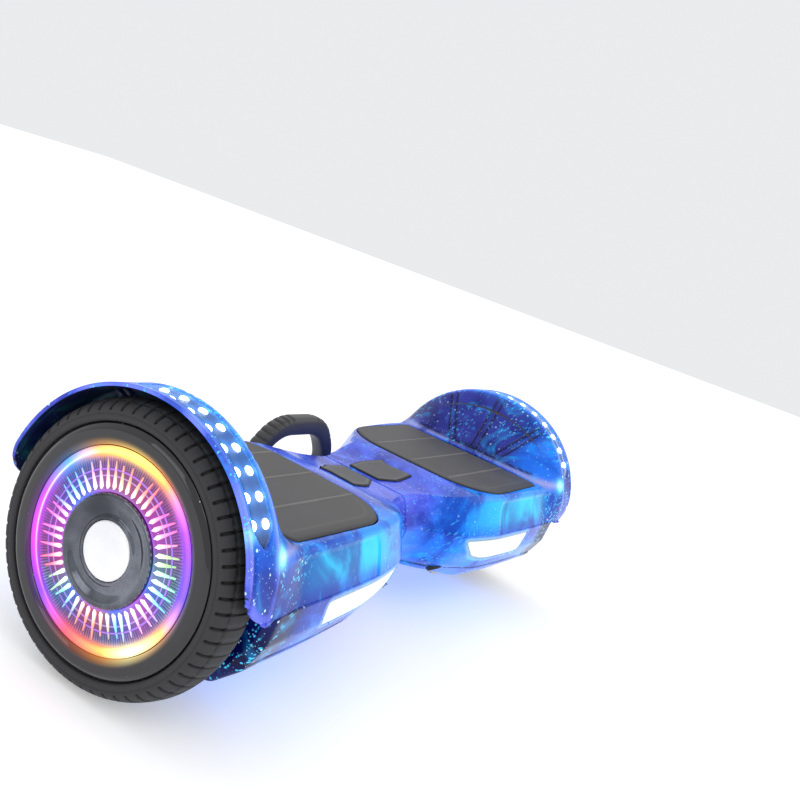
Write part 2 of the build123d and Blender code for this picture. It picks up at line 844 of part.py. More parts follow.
def carry_handle():
    """Carry handle: a loop behind the waist, bolted to the left half and free of the right one."""
    back = handle_front + handle_depth
    loop = extrude(Plane.XZ.offset(-back) * handle_face(), handle_depth)
    foot = block(-handle_half_span + 2, -14, handle_front, handle_front + handle_foot_thickness,
                 deck_bottom - 3, axle_height + 12)
    foot = fillet(foot.edges().filter_by(Axis.Y), 4.0)
    handle = loop + foot
    for x in handle_screw_xs:
        handle = handle - rod_y(screw_radius + slip, handle_front - 1, back + 1, -x, handle_screw_z())
        handle = handle - rod_y(screw_head_radius + slip, handle_front + 5, back + 1, -x, handle_screw_z())
    for index in range(grip_slots):
        x = -grip_half_span + 2 * grip_half_span * index / (grip_slots - 1)
        slot = block(x - 1.5, x + 1.5, handle_front - 1, back + 1, axle_height + handle_top - grip_slot_depth,
                     axle_height + handle_top + 1)
        handle = handle - slot
    return handle


def handle_screw_z():
    """Height of the handle's screws."""
    return deck_bottom + 6.0


def handle_bosses(radius, length_in):
    """Cylinders from the left chassis out to the handle."""
    return [rod_y(radius, neck_half_width - length_in, handle_front, -x, handle_screw_z())
            for x in handle_screw_xs]


def handle_screws():
    """Two screws through the handle's foot."""
    screws = Part()
    face = handle_front + 5
    for x in handle_screw_xs:
        shank = rod_y(screw_radius, handle_front - 18, face + 0.5, -x, handle_screw_z())
        head = rod_y(screw_head_radius, face, face + 2.2, -x, handle_screw_z())
        screws = screws + (shank + head)
    return screws


# ---- power button, on the sloping front of the right underside

def button_plane():
    """Plane on the sloping facet, with its normal pointing out of the shell."""
    rows = knots()
    front = rows[3][1] + (rows[4][1] - rows[3][1]) * (button_x - rows[3][0]) / (rows[4][0] - rows[3][0])
    bottom = rows[3][4] + (rows[4][4] - rows[3][4]) * (button_x - rows[3][0]) / (rows[4][0] - rows[3][0])
    depth = seam_height - bottom
    high = (-front + side_levels[1][1], bottom + side_levels[1][0] * depth)
    low = (-front + side_levels[2][1], bottom + side_levels[2][0] * depth)
    middle = Vector(button_x, (high[0] + low[0]) / 2, (high[1] + low[1]) / 2)
    normal = Vector(0, -(high[1] - low[1]), -(low[0] - high[0])).normalized()
    return Plane(origin=middle, x_dir=(1, 0, 0), z_dir=normal)


def button_rod(radius, start, end):
    """Cylinder on the button's axis, measured outwards from the shell's face."""
    return button_plane() * Pos(0, 0, (start + end) / 2) * Cylinder(radius, end - start)


def power_button():
    """Round push button."""
    button = button_rod(button_radius, -6.0, button_proud)
    return fillet(button.edges().sort_by(Axis.Z)[0], 0.8)


def power_switch(lower_inner):
    """Cup behind the button that guides it."""
    cup = button_rod(button_radius + 2.2, -10.0, 0.0) - button_rod(button_radius + 0.2, -8.0, 1.0)
    return cup & lower_inner


# ---- charging socket, on the rear of the right half

def socket_y():
    """Rear face of the charging socket."""
    return fender_radius - 5.0


def socket_z():
    """Height of the charging socket."""
    return seam_height - 14.0


def charge_socket():
    """Round socket with a flange outside the shell and three flush contacts in its floor."""
    face = socket_y()
    barrel = rod_y(socket_bore_radius + socket_wall, face - socket_depth - 3, face, socket_x, socket_z())
    flange = rod_y(socket_bore_radius + socket_wall + socket_flange, face - socket_flange_thickness, face,
                   socket_x, socket_z())
    socket = barrel + flange
    socket = socket - rod_y(socket_bore_radius, face - socket_depth, face + 1, socket_x, socket_z())
    for angle in (90.0, 210.0, 330.0):
        x = socket_x + 3.4 * cos(radians(angle))
        z = socket_z() + 3.4 * sin(radians(angle))
        socket = socket - rod_y(0.9, face - socket_depth - 1.5, face - socket_depth + 1, x, z)
    return socket


def socket_seat(shell, outer):
    """Lower shell with a thick pad, a counterbore and a hole for the charging socket."""
    face = socket_y()
    barrel = socket_bore_radius + socket_wall
    back = face - socket_flange_thickness
    pad = rod_y(barrel + socket_flange + 2, back - wall, face + 5, socket_x, socket_z()) & outer
    pad = pad & block(0, half_length, 0, fender_radius, 0, seam_height - seam_gap / 2)
    flange_room = rod_y(barrel + socket_flange + slip, back, face + 9, socket_x, socket_z())
    barrel_room = rod_y(barrel + slip, face - 20, face, socket_x, socket_z())
    return (shell + pad) - [flange_room, barrel_room]


# ---- assembly

def build():
    """Return every node by name."""
    upper_outer = upper_form(0)
    upper_inner = upper_form(wall)
    lower_outer = lower_form(0)
    lower_inner = lower_form(wall)
    window = fender_window()
    shared = {
        "upper_shell": upper_shell(upper_outer, upper_inner),
        "lower_shell": lower_shell(lower_outer, lower_inner),
        "chassis": chassis(),
        "fender_window": window,
        "fender_lights": fender_lights(),
        "headlight_lens": headlight_lens(lower_outer, lower_inner),
        "headlight_board": headlight_board(),
        "axle": axle(),
        "stator": stator(),
        "axle_clamp": axle_clamp(),
        "clamp_screws": clamp_screws(),
        "shell_screws": shell_screws(),
        "sensor_board": sensor_board(),
        "centre_pad": centre_pad(upper_outer),
        "tyre": tyre(),
        "motor_rim": motor_rim(),
        "motor_cover": motor_cover(),
        "magnet_ring": magnet_ring(),
        "wheel_bearings": wheel_bearings(),
        "hub_cover": hub_cover(),
        "light_ring": light_ring(),
        "hub_cap": hub_cap(),
        "foot_pad": foot_pad(),
        "pad_plungers": pad_plungers(),
    }
    nodes = {}
    for name, shape in shared.items():
        nodes["right_" + name] = shape
        nodes["left_" + name] = mirror(shape, about=Plane.YZ)
    for boss in handle_bosses(handle_boss_radius, handle_boss_root):
        nodes["left_chassis"] = nodes["left_chassis"] + boss
    for bore in handle_bosses(screw_radius + running, -4.0):
        nodes["left_chassis"] = nodes["left_chassis"] - bore
    for hole in handle_bosses(handle_boss_radius + seat, handle_boss_root):
        nodes["left_lower_shell"] = nodes["left_lower_shell"] - hole
    pivot_seat = rod_x(pivot_radius + press_bond / 2, -pivot_reach, 1 - boss_start)
    nodes["left_chassis"] = nodes["left_chassis"] - pivot_seat
    bush_bore = rod_x(pivot_radius + bush_wall + press_bond, boss_start - 1, pivot_reach)
    nodes["right_chassis"] = nodes["right_chassis"] - bush_bore
    nodes["right_lower_shell"] = nodes["right_lower_shell"] - button_rod(button_radius + 0.4, -20, 10)
    nodes["right_lower_shell"] = socket_seat(nodes["right_lower_shell"], lower_outer)
    nodes["pivot_shaft"] = pivot_shaft()
    nodes["pivot_bushes"] = pivot_bushes()
    nodes["pivot_circlip"] = pivot_circlip()
    nodes["carry_handle"] = carry_handle()
    nodes["handle_screws"] = handle_screws()
    nodes["battery_pack"] = mirror(battery_pack(), about=Plane.YZ)
    nodes["main_board"] = main_board()
    nodes["power_button"] = power_button()
    nodes["power_switch"] = power_switch(lower_inner)
    nodes["charge_socket"] = charge_socket()
    return nodes


os.makedirs("parts", exist_ok=True)
for name, shape in build().items():
    export_step(shape, f"parts/{name}.step")
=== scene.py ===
"""Visual model of a two-wheel balancing board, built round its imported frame."""
import logging
import math
from dataclasses import dataclass, field
from enum import Enum
from typing import Callable, Sequence

import bpy
import numpy as np
from mathutils import Matrix, Vector


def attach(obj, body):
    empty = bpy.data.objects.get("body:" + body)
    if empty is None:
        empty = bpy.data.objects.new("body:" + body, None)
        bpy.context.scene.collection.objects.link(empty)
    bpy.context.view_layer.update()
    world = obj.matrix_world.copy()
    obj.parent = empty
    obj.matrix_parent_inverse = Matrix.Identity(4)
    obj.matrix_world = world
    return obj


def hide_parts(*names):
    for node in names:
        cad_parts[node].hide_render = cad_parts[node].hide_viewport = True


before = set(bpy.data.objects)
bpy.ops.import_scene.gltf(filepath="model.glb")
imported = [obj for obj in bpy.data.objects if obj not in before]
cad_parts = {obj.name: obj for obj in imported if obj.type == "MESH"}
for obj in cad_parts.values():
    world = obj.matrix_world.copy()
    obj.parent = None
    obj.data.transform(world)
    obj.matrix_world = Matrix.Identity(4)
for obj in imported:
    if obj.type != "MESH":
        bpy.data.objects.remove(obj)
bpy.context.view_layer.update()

LOG = logging.getLogger("board")
MM = 0.001
Colour = tuple[float, float, float]
Region = Callable[[np.ndarray], np.ndarray]


class Side(Enum):
    """The two halves of the board, with the sign of their X."""

    LEFT = -1
    RIGHT = 1

    @property
    def word(self) -> str:
        """Prefix of this side's nodes."""
        return self.name.lower()


class Texture(Enum):
    """Surface relief that a finish carries."""

    GRAIN = "grain"
    BRUSHED = "brushed"
    CAST = "cast"
    WOUND = "wound"


def hue(code: str) -> Colour:
    """Linear colour of a six-digit screen colour."""
    parts = [int(code[i:i + 2], 16) / 255 for i in (0, 2, 4)]
    return tuple(p / 12.92 if p <= 0.04045 else ((p + 0.055) / 1.055) ** 2.4 for p in parts)


def ease(value: np.ndarray, low: float, high: float) -> np.ndarray:
    """Smooth step from 0 at low to 1 at high."""
    t = np.clip((value - low) / (high - low), 0, 1)
    return t * t * (3 - 2 * t)


def bell(value: np.ndarray, middle: float, width: float) -> np.ndarray:
    """Bell curve of height 1."""
    return np.exp(-((value - middle) / width) ** 2)


def blend(base: np.ndarray, code: str, share: np.ndarray) -> np.ndarray:
    """Rows of colour moved towards a screen colour by a share per row."""
    return base + (np.array(hue(code)) - base) * share[:, None]


# ---- shader graphs

class Socket:
    """A shader output that takes part in Python arithmetic through Math nodes."""

    def __init__(self, graph: "Graph", link: bpy.types.NodeSocket) -> None:
        """Wrap one output of a graph."""
        self.graph = graph
        self.link = link

    def math(self, kind: str, first: "Operand", second: "Operand" = 0.0) -> "Socket":
        """Result of one Math node."""
        return self.graph.node("ShaderNodeMath", {"operation": kind}, {0: first, 1: second})

    def __add__(self, other: "Operand") -> "Socket":
        """Sum."""
        return self.math("ADD", self, other)

    def __sub__(self, other: "Operand") -> "Socket":
        """Difference."""
        return self.math("SUBTRACT", self, other)

    def __rsub__(self, other: "Operand") -> "Socket":
        """Difference from the right."""
        return self.math("SUBTRACT", other, self)

    def __mul__(self, other: "Operand") -> "Socket":
        """Product."""
        return self.math("MULTIPLY", self, other)

    def __pow__(self, other: "Operand") -> "Socket":
        """Power."""
        return self.math("POWER", self, other)

    def fade(self, low: float, high: float) -> "Socket":
        """Smooth step from 0 at low to 1 at high."""
        return self.graph.node("ShaderNodeMapRange", {"interpolation_type": "SMOOTHSTEP"},
                               {"Value": self, "From Min": low, "From Max": high})

    __radd__ = __add__
    __rmul__ = __mul__


Operand = float | Socket


class Graph:
    """One material's node graph round a Principled shader."""

    def __init__(self, name: str) -> None:
        """Start an empty material.

        Args:
            name: Name of the material.
        """
        self.material = bpy.data.materials.new(name)
        self.material.use_nodes = True
        self.tree = self.material.node_tree
        self.shader = next(n for n in self.tree.nodes if n.type == "BSDF_PRINCIPLED")

    def node(self, kind: str, settings: dict | None = None, inputs: dict | None = None,
             output: int | str = 0) -> Socket:
        """Add a node.

        Args:
            kind: The node's type.
            settings: Its properties, with a ramp's stops under "stops".
            inputs: Values or sockets by input name or number.
            output: The output to hand back.

        Returns:
            That output.
        """
        made = self.tree.nodes.new(kind)
        for key, value in (settings or {}).items():
            if key == "stops":
                self._stops(made.color_ramp, value)
            else:
                setattr(made, key, value)
        for key, value in (inputs or {}).items():
            self.feed(made.inputs[key], value)
        return Socket(self, made.outputs[output])

    @staticmethod
    def _stops(ramp: bpy.types.ColorRamp, stops: Sequence[tuple[float, Colour]]) -> None:
        """Set a ramp's stops.

        Args:
            ramp: The ramp.
            stops: (place, colour) pairs in order.
        """
        while len(ramp.elements) < len(stops):
            ramp.elements.new(0.5)
        for element, (place, colour) in zip(ramp.elements, stops):
            element.position = place
            element.color = (*colour, 1)

    def feed(self, target: bpy.types.NodeSocket, value: object) -> None:
        """Link a socket to an input or set the input's own value.

        Args:
            target: The input.
            value: A socket, a number or a colour.
        """
        if isinstance(value, Socket):
            self.tree.links.new(value.link, target)
        elif isinstance(value, tuple) and len(value) == 3 and target.type == "RGBA":
            target.default_value = (*value, 1)
        else:
            target.default_value = value

    def place(self, stretch: Colour = (1, 1, 1), turn: Colour = (0, 0, 0)) -> Socket:
        """Object coordinates, turned and then stretched."""
        coords = self.node("ShaderNodeTexCoord", output="Object")
        turned = self.node("ShaderNodeMapping", {}, {"Vector": coords, "Rotation": turn})
        return self.node("ShaderNodeVectorMath", {"operation": "MULTIPLY"}, {0: turned, 1: stretch})

    def noise(self, scale: float, detail: float = 3.0, warp: float = 0.0, at: Socket | None = None,
              output: str = "Fac") -> Socket:
        """Noise texture."""
        return self.node("ShaderNodeTexNoise", {}, {"Vector": at or self.place(), "Scale": scale,
                                                    "Detail": detail, "Distortion": warp}, output)

    def cells(self, scale: float, at: Socket | None = None, output: str = "Distance") -> Socket:
        """Voronoi texture."""
        return self.node("ShaderNodeTexVoronoi", {}, {"Vector": at or self.place(), "Scale": scale}, output)

    def ramp(self, value: Socket, *stops: tuple[float, Colour]) -> Socket:
        """Colour ramp."""
        return self.node("ShaderNodeValToRGB", {"stops": stops}, {0: value})

    def mix(self, share: Operand, first: object, second: object, kind: str = "MIX") -> Socket:
        """Mix of two colours."""
        return self.node("ShaderNodeMix", {"data_type": "RGBA", "blend_type": kind},
                         {0: share, 6: first, 7: second}, 2)

    def attribute(self, name: str, output: str) -> Socket:
        """Value stored on the mesh."""
        return self.node("ShaderNodeAttribute", {"attribute_name": name}, {}, output)

    def bump(self, height: Socket, strength: float, depth: float) -> Socket:
        """Normal bent by a height, with the depth in metres."""
        return self.node("ShaderNodeBump", {}, {"Height": height, "Strength": strength, "Distance": depth})

    def set(self, **values: object) -> bpy.types.Material:
        """Set the shader's inputs, with _ for a space, and hand back the material."""
        for key, value in values.items():
            self.feed(self.shader.inputs[key.replace("_", " ")], value)
        return self.material


@dataclass(frozen=True)
class Finish:
    """A plain moulded, cast or drawn surface with its own relief and wear; on the bright cap the dark second
    tone is painted reflection.
    """

    name: str
    tone: str
    second: str
    roughness: float = 0.5
    metallic: float = 0.0
    coat: float = 0.0
    texture: Texture = Texture.GRAIN
    scale: float = 900.0
    depth: float = 0.00012

    def make(self) -> bpy.types.Material:
        """Build the material.

        Returns:
            The material.
        """
        g = Graph(self.name)
        broad = g.noise(24, 4)
        stretch = {Texture.BRUSHED: (0.06, 1, 1), Texture.WOUND: (1, 0.1, 0.1)}.get(self.texture, (1, 1, 1))
        fine = g.noise(self.scale, 2, 0.0, g.place(stretch))
        pits = g.cells(self.scale * 0.6).fade(0.0, 0.5) if self.texture is Texture.CAST else fine
        tone = g.mix(broad.fade(0.35, 0.7), hue(self.tone), hue(self.second))
        shade = g.mix(fine.fade(0.45, 0.8) * 0.35, tone, hue(self.second))
        rough = (broad - 0.5) * 0.18 + (fine - 0.5) * 0.12 + self.roughness
        return g.set(Base_Color=shade, Roughness=rough, Metallic=self.metallic, Coat_Weight=self.coat,
                     Coat_Roughness=0.08, Normal=g.bump(fine + pits, 0.5, self.depth))


@dataclass(frozen=True)
class ShellPrint:
    """Glossy night-sky print: zone tones from the mesh, clouds, star specks and rows of streaks, with painted
    light in its emission: a faint glow of its own, painted glints and the painted lamp glow from the mesh.
    """

    name: str
    inner: bool = False

    def make(self) -> bpy.types.Material:
        """Build the material.

        Returns:
            The material.
        """
        g = Graph(self.name)
        if self.inner:
            return self._inside(g)
        tint = g.attribute("tint", "Color")
        stars = g.attribute("stars", "Fac")
        glow = g.attribute("glow", "Color")
        cloud = g.noise(17, 7, 1.1)
        deep = g.mix(cloud.fade(0.60, 0.38) * 0.9, tint, g.mix(1.0, tint, (0.12, 0.16, 0.42), "MULTIPLY"))
        wisps = g.noise(30, 8, 1.8).fade(0.53, 0.74)
        bright = g.mix(wisps * 0.65, deep, g.mix(0.7, tint, hue("04acff")))
        shown = self._sparks(g, bright, stars)
        # painted glints: scattered soft cyan-white spots, added only to the emission
        flare = (0.24 - g.cells(21)).fade(0.0, 0.24) ** 2.4 * g.noise(11).fade(0.5, 0.62) * stars
        # painted light: the shell, which is no lamp, glows with a fifth of its own colour, and the painted
        # lamp glow and glint from the mesh are added to it
        lit = g.mix(1.0, glow, g.mix(1.0, shown, (0.20, 0.20, 0.20), "MULTIPLY"), "ADD")
        lit = g.mix(flare, lit, (0.35, 0.95, 1.0), "ADD")
        return g.set(Base_Color=shown, Roughness=(cloud - 0.5) * 0.08 + 0.2, Coat_Weight=0.16,
                     Specular_IOR_Level=0.12, Coat_Roughness=0.03, Emission_Color=lit,
                     Emission_Strength=1.0, Normal=g.bump(g.noise(520, 2), 0.12, 0.00006))

    @staticmethod
    def _sparks(g: Graph, under: Socket, stars: Socket) -> Socket:
        """Star specks and slanting rows of short streaks over a base.

        Args:
            g: The material's graph.
            under: Colour beneath the specks.
            stars: Share of specks, from 0 to 1.

        Returns:
            The colour with its specks.
        """
        clusters = g.noise(30, 3).fade(0.40, 0.62)
        small = (0.20 - g.cells(420)).fade(0.0, 0.07) * (clusters * 0.9 + 0.1)
        large = (0.17 - g.cells(150)).fade(0.0, 0.06) * g.noise(47).fade(0.45, 0.6)
        dotted = g.mix(small * stars, under, g.mix(g.noise(90).fade(0.4, 0.6), hue("2fb9ff"), hue("d4f4ff")))
        dotted = g.mix(large * stars, dotted, hue("c8f2ff"))
        lean = (0.0, 0.62, 0.35)
        dashes = (0.34 - g.cells(1.0, g.place((105.0, 430.0, 400.0), lean))).fade(0.0, 0.12)
        bands = g.noise(24, 2, 0.6, g.place((0.6, 1.8, 1.8), lean)).fade(0.50, 0.58)
        crossed = (0.30 - g.cells(1.0, g.place((420.0, 380.0, 90.0), (0.5, 0.0, 0.4)))).fade(0.0, 0.10)
        streaks = dashes * bands + crossed * g.noise(19, 3, 1.0).fade(0.56, 0.64) * 0.8
        return g.mix(streaks * stars, dotted, hue("45cdff"))

    @staticmethod
    def _inside(g: Graph) -> bpy.types.Material:
        """Dark inner face: navy with green clouds and pale specks.

        Args:
            g: The material's graph.

        Returns:
            The material.
        """
        cloud = g.noise(26, 5, 0.9)
        tone = g.ramp(cloud, (0.36, hue("050a26")), (0.52, hue("0a1a55")), (0.64, hue("0f5a63")),
                      (0.74, hue("4a9a78")))
        dots = (0.15 - g.cells(300)).fade(0.0, 0.07) * g.noise(40).fade(0.4, 0.62)
        shown = g.mix(dots, tone, hue("7fd0e8"))
        return g.set(Base_Color=shown, Roughness=(cloud - 0.5) * 0.3 + 0.42, Coat_Weight=0.5,
                     Coat_Roughness=0.2,
                     Normal=g.bump(g.noise(300), 0.25, 0.0002))


@dataclass(frozen=True)
class Lit:
    """A lit part, or a part with light painted on it: colours and brightness come from the mesh."""

    name: str
    strength: float = 3.0
    roughness: float = 0.15
    clear: float = 1.0
    coat: float = 1.0

    def make(self) -> bpy.types.Material:
        """Build the material.

        Returns:
            The material.
        """
        g = Graph(self.name)
        light = g.attribute("light", "Color")
        tint = g.attribute("tint", "Color")
        fine = g.noise(420, 3)
        sparks = (0.10 - g.cells(260)).fade(0.0, 0.05) * g.noise(60).fade(0.55, 0.66)
        shown = g.mix(sparks * 0.8, light, (0.9, 0.9, 1.0))
        return g.set(Base_Color=g.mix(fine * 0.25, tint, (0.02, 0.02, 0.03)),
                     Roughness=(fine - 0.5) * 0.1 + self.roughness,
                     Coat_Weight=self.coat, Coat_Roughness=0.05, Specular_IOR_Level=0.35,
                     Alpha=self.clear, Emission_Color=shown,
                     Emission_Strength=self.strength, Normal=g.bump(fine, 0.1, 0.0001))


@dataclass(frozen=True)
class Tinted:
    """A part whose tones come from its mesh, with a grain over them."""

    name: str
    roughness: float = 0.5
    metallic: float = 0.0
    coat: float = 0.0
    grain: float = 1500.0
    depth: float = 0.00015

    def make(self) -> bpy.types.Material:
        """Build the material.

        Returns:
            The material.
        """
        g = Graph(self.name)
        tint = g.attribute("tint", "Color")
        broad, fine = g.noise(30, 4), g.noise(self.grain, 2)
        worn = g.mix(broad.fade(0.35, 0.75) * 0.3, tint, g.mix(1.0, tint, (1.6, 1.6, 1.65), "MULTIPLY"))
        shown = g.mix(fine.fade(0.5, 0.9) * 0.3, worn, (0.015, 0.015, 0.017))
        return g.set(Base_Color=shown, Roughness=(broad - 0.5) * 0.15 + (fine - 0.5) * 0.15 + self.roughness,
                     Metallic=self.metallic, Coat_Weight=self.coat, Coat_Roughness=0.06,
                     Normal=g.bump(fine, 0.5, self.depth))


class Palette:
    """Every finish of the board, made once."""

    PLAIN = {
        "cast_frame": Finish("cast_frame", "8d9196", "6c7075", 0.45, 0.9, texture=Texture.CAST, scale=700),
        "steel": Finish("steel", "b9bcc0", "8f9297", 0.28, 1.0, texture=Texture.BRUSHED, scale=1600),
        "motor_core": Finish("motor_core", "9a5a2a", "5b3a22", 0.4, 0.7, texture=Texture.WOUND, scale=1200),
        "circuit_board": Finish("circuit_board", "0d4a2a", "123a20", 0.4, 0.0, 0.3, scale=1100),
        "grip_rubber": Finish("grip_rubber", "3a3a3c", "2b2b2d", 0.62, scale=1800),
        "cast_rim": Finish("cast_rim", "2c2d30", "1d1e20", 0.4, 0.8, texture=Texture.CAST, scale=900),
        "magnets": Finish("magnets", "7a7d80", "55585a", 0.35, 1.0, texture=Texture.BRUSHED, scale=1400),
        "black_plastic": Finish("black_plastic", "161618", "222226", 0.42, scale=1500),
        "battery_wrap": Finish("battery_wrap", "1c4f9c", "16407e", 0.35, 0.0, 0.4, scale=500),
        "bush_plastic": Finish("bush_plastic", "c9c4b4", "b5af9c", 0.5, scale=1300),
        "light_board": Finish("light_board", "14233a", "0c1626", 0.5, scale=900),
        # bright cap: chrome base tone, with broad patches of the dark second tone that stand in for reflected
        # dark bands, a painted reflection
        "bright_cap": Finish("bright_cap", "777b85", "3c3f46", 0.09, 1.0, 0.3, Texture.BRUSHED, 900, 0.00003),
        "cap_disc": Finish("cap_disc", "f4f4f6", "e2e3e8", 0.22, 0.35, 0.8, scale=700, depth=0.00004),
    }

    def __init__(self) -> None:
        """Make the materials."""
        self.made = {name: finish.make() for name, finish in self.PLAIN.items()}
        special = (ShellPrint("printed_shell"), ShellPrint("shell_inside", True),
                   Lit("tinted_window", 1.0, 0.12, 0.38, 0.5), Lit("clear_lens", 0.95, 0.1),
                   Lit("lamp_dome", 12.0),
                   Lit("ring_light", 1.1, 0.25, 1.0, 0.25), Tinted("tyre", 0.68, grain=1300),
                   Tinted("pad_rubber", 0.56, grain=2200),
                   Tinted("handle_rubber", 0.5, grain=1700, coat=0.15),
                   # the gloss black hub cover takes this lit finish: its emission is painted light, the
                   # ring's glow from the mesh and white sparks as painted glints
                   Lit("gloss_black", 1.0, 0.07, coat=0.6))
        self.made.update({finish.name: finish.make() for finish in special})

    def __getitem__(self, name: str) -> bpy.types.Material:
        """Material by name."""
        return self.made[name]


# ---- mesh work

def round_corners(points: Sequence[tuple[float, float]], radius: float, steps: int = 6,
                  closed: bool = False) -> list[tuple[float, float]]:
    """Polyline with its corners rounded.

    Args:
        points: Corner points.
        radius: Length taken off each side of a corner, less where the side is short.
        steps: Points per corner.
        closed: Whether the last point joins the first.

    Returns:
        The rounded polyline.
    """
    count = len(points)
    result = []
    for i, corner in enumerate(points):
        if not closed and i in (0, count - 1):
            result.append(corner)
            continue
        here, before, after = np.array(corner), np.array(points[i - 1]), np.array(points[(i + 1) % count])
        to_before, to_after = before - here, after - here
        a, b = np.linalg.norm(to_before), np.linalg.norm(to_after)
        start = here + to_before / a * min(radius, a * 0.49)
        end = here + to_after / b * min(radius, b * 0.49)
        for t in np.linspace(0, 1, steps):
            result.append(tuple((1 - t) ** 2 * start + 2 * t * (1 - t) * here + t * t * end))
    return result


def along(points: Sequence[tuple[float, float]], pitch: float) -> np.ndarray:
    """Points every pitch or so along a polyline, keeping its vertices.

    Args:
        points: Corners of the line.
        pitch: Largest step between points.

    Returns:
        The evenly stepped line.
    """
    rows = [np.array(points[0], float)]
    for start, end in zip(points, points[1:]):
        start, end = np.array(start, float), np.array(end, float)
        count = max(1, round(float(np.linalg.norm(end - start)) / pitch))
        rows.extend(start + (end - start) * k / count for k in range(1, count + 1))
    return np.array(rows)


@dataclass
class Sheet:
    """A grid of points in millimetres that becomes one or more pieces."""

    points: np.ndarray
    wrap: bool = False
    tones: dict[str, np.ndarray] = field(default_factory=dict)

    @property
    def flat(self) -> np.ndarray:
        """Points as one list."""
        return self.points.reshape(-1, 3)

    def quads(self) -> np.ndarray:
        """Corner numbers of every face.

        Returns:
            Four point numbers for each face.
        """
        rows, columns = self.points.shape[:2]
        index = np.arange(rows * columns).reshape(rows, columns)
        if self.wrap:
            index = np.vstack([index, index[:1]])
        corners = (index[:-1, :-1], index[:-1, 1:], index[1:, 1:], index[1:, :-1])
        return np.stack([c.ravel() for c in corners], axis=1)

    def normals(self) -> np.ndarray:
        """Unit normal at every point.

        Returns:
            One outward direction for each point.
        """
        if self.wrap:
            down = np.roll(self.points, -1, 0) - np.roll(self.points, 1, 0)
        else:
            down = np.gradient(self.points, axis=0)
        across = np.gradient(self.points, axis=1)
        normal = np.cross(across, down)
        return (normal / np.maximum(np.linalg.norm(normal, axis=2, keepdims=True), 1e-9)).reshape(-1, 3)

    def smooth(self, passes: int, columns: slice = slice(None)) -> None:
        """Soften creases along both directions of the grid, leaving its border.

        Args:
            passes: How often to smooth.
            columns: The columns to smooth.
        """
        part = self.points[:, columns]
        for _ in range(passes):
            part[1:-1] = part[1:-1] * 0.5 + (part[:-2] + part[2:]) * 0.25
            part[:, 1:-1] = part[:, 1:-1] * 0.5 + (part[:, :-2] + part[:, 2:]) * 0.25

    def push(self, depth: np.ndarray) -> None:
        """Move every point in along its normal by a depth."""
        self.points = (self.flat - self.normals() * depth[:, None]).reshape(self.points.shape)

    def split(self, *regions: Region) -> list[np.ndarray]:
        """Cut the sheet along the edges of some regions.

        Args:
            regions: Distances to each region's edge, negative inside.

        Returns:
            The faces outside every region, then the faces inside each.
        """
        quads = self.quads()
        owner = np.zeros(len(quads), int)
        pitch_rows = np.gradient(self.points, axis=0).reshape(-1, 3)
        pitch_columns = np.gradient(self.points, axis=1).reshape(-1, 3)
        normal = self.normals()
        for number, region in enumerate(regions, 1):
            points = self.flat.copy()
            for _ in range(2):
                distance = region(points)
                rise = np.stack([region(points + step) - distance for step in np.eye(3) * 0.01],
                                axis=1) / 0.01
                rise -= normal * np.sum(rise * normal, axis=1, keepdims=True)
                size = np.maximum(np.sum(rise * rise, axis=1), 1e-4)
                reach = 0.52 * (abs(np.sum(rise * pitch_rows, axis=1))
                                + abs(np.sum(rise * pitch_columns, axis=1)))
                near = (abs(distance) < reach) & (size > 0.05)
                points[near] -= (rise * (distance / size)[:, None])[near]
            distance = region(points)
            sign = np.where(abs(distance) < 0.02, 0, np.sign(distance))
            self.points = points.reshape(self.points.shape)
            corners = sign[quads]
            inside = (corners.min(1) < 0) | ((corners.max(1) == 0) & (region(points[quads].mean(1)) < 0))
            owner[inside & (corners.max(1) <= 0)] = number
        return [quads[owner == number] for number in range(len(regions) + 1)]

    def piece(self, name: str, faces: np.ndarray | None, side: Side, materials: Sequence[bpy.types.Material],
              lift: float = 0.0) -> bpy.types.Object:
        """Make an object from some of the faces, mirrored for the left half.

        Args:
            name: The object's name.
            faces: Corner numbers, or None for every face.
            side: The half that it belongs to.
            materials: Its materials.
            lift: How far out along its normals it lies, in millimetres.

        Returns:
            The object.
        """
        faces = self.quads() if faces is None else faces
        used, compact = np.unique(faces, return_inverse=True)
        compact = compact.reshape(faces.shape)
        points = (self.flat + self.normals() * lift)[used] * MM
        if side is Side.LEFT:
            points = points * (-1, 1, 1)
            compact = compact[:, ::-1]
        made = solid(name, points, compact, materials)
        for key, values in self.tones.items():
            store(made, key, values[used])
        return made


def solid(name: str, points: np.ndarray, faces: Sequence,
          materials: Sequence[bpy.types.Material]) -> bpy.types.Object:
    """Make a smooth-shaded object from points in metres.

    Args:
        name: The object's name.
        points: Its vertices.
        faces: Corner numbers of each face.
        materials: Its materials.

    Returns:
        The object.
    """
    mesh = bpy.data.meshes.new(name)
    tidy = [list(dict.fromkeys(int(c) for c in face)) for face in faces]
    mesh.from_pydata([tuple(map(float, p)) for p in points], [], [face for face in tidy if len(face) > 2])
    mesh.shade_smooth()
    for material in materials:
        mesh.materials.append(material)
    made = bpy.data.objects.new(name, mesh)
    bpy.context.collection.objects.link(made)
    return made


def store(piece: bpy.types.Object, name: str, values: np.ndarray) -> None:
    """Keep numbers or colours on a piece's vertices for its finish.

    Args:
        piece: The piece.
        name: Name of the attribute.
        values: One colour or number per point.
    """
    if values.ndim == 1:
        piece.data.attributes.new(name, "FLOAT", "POINT").data.foreach_set("value", values.astype(np.float32))
    else:
        four = np.hstack([values, np.ones((len(values), 1))]).astype(np.float32)
        piece.data.attributes.new(name, "FLOAT_COLOR", "POINT").data.foreach_set("color", four.ravel())


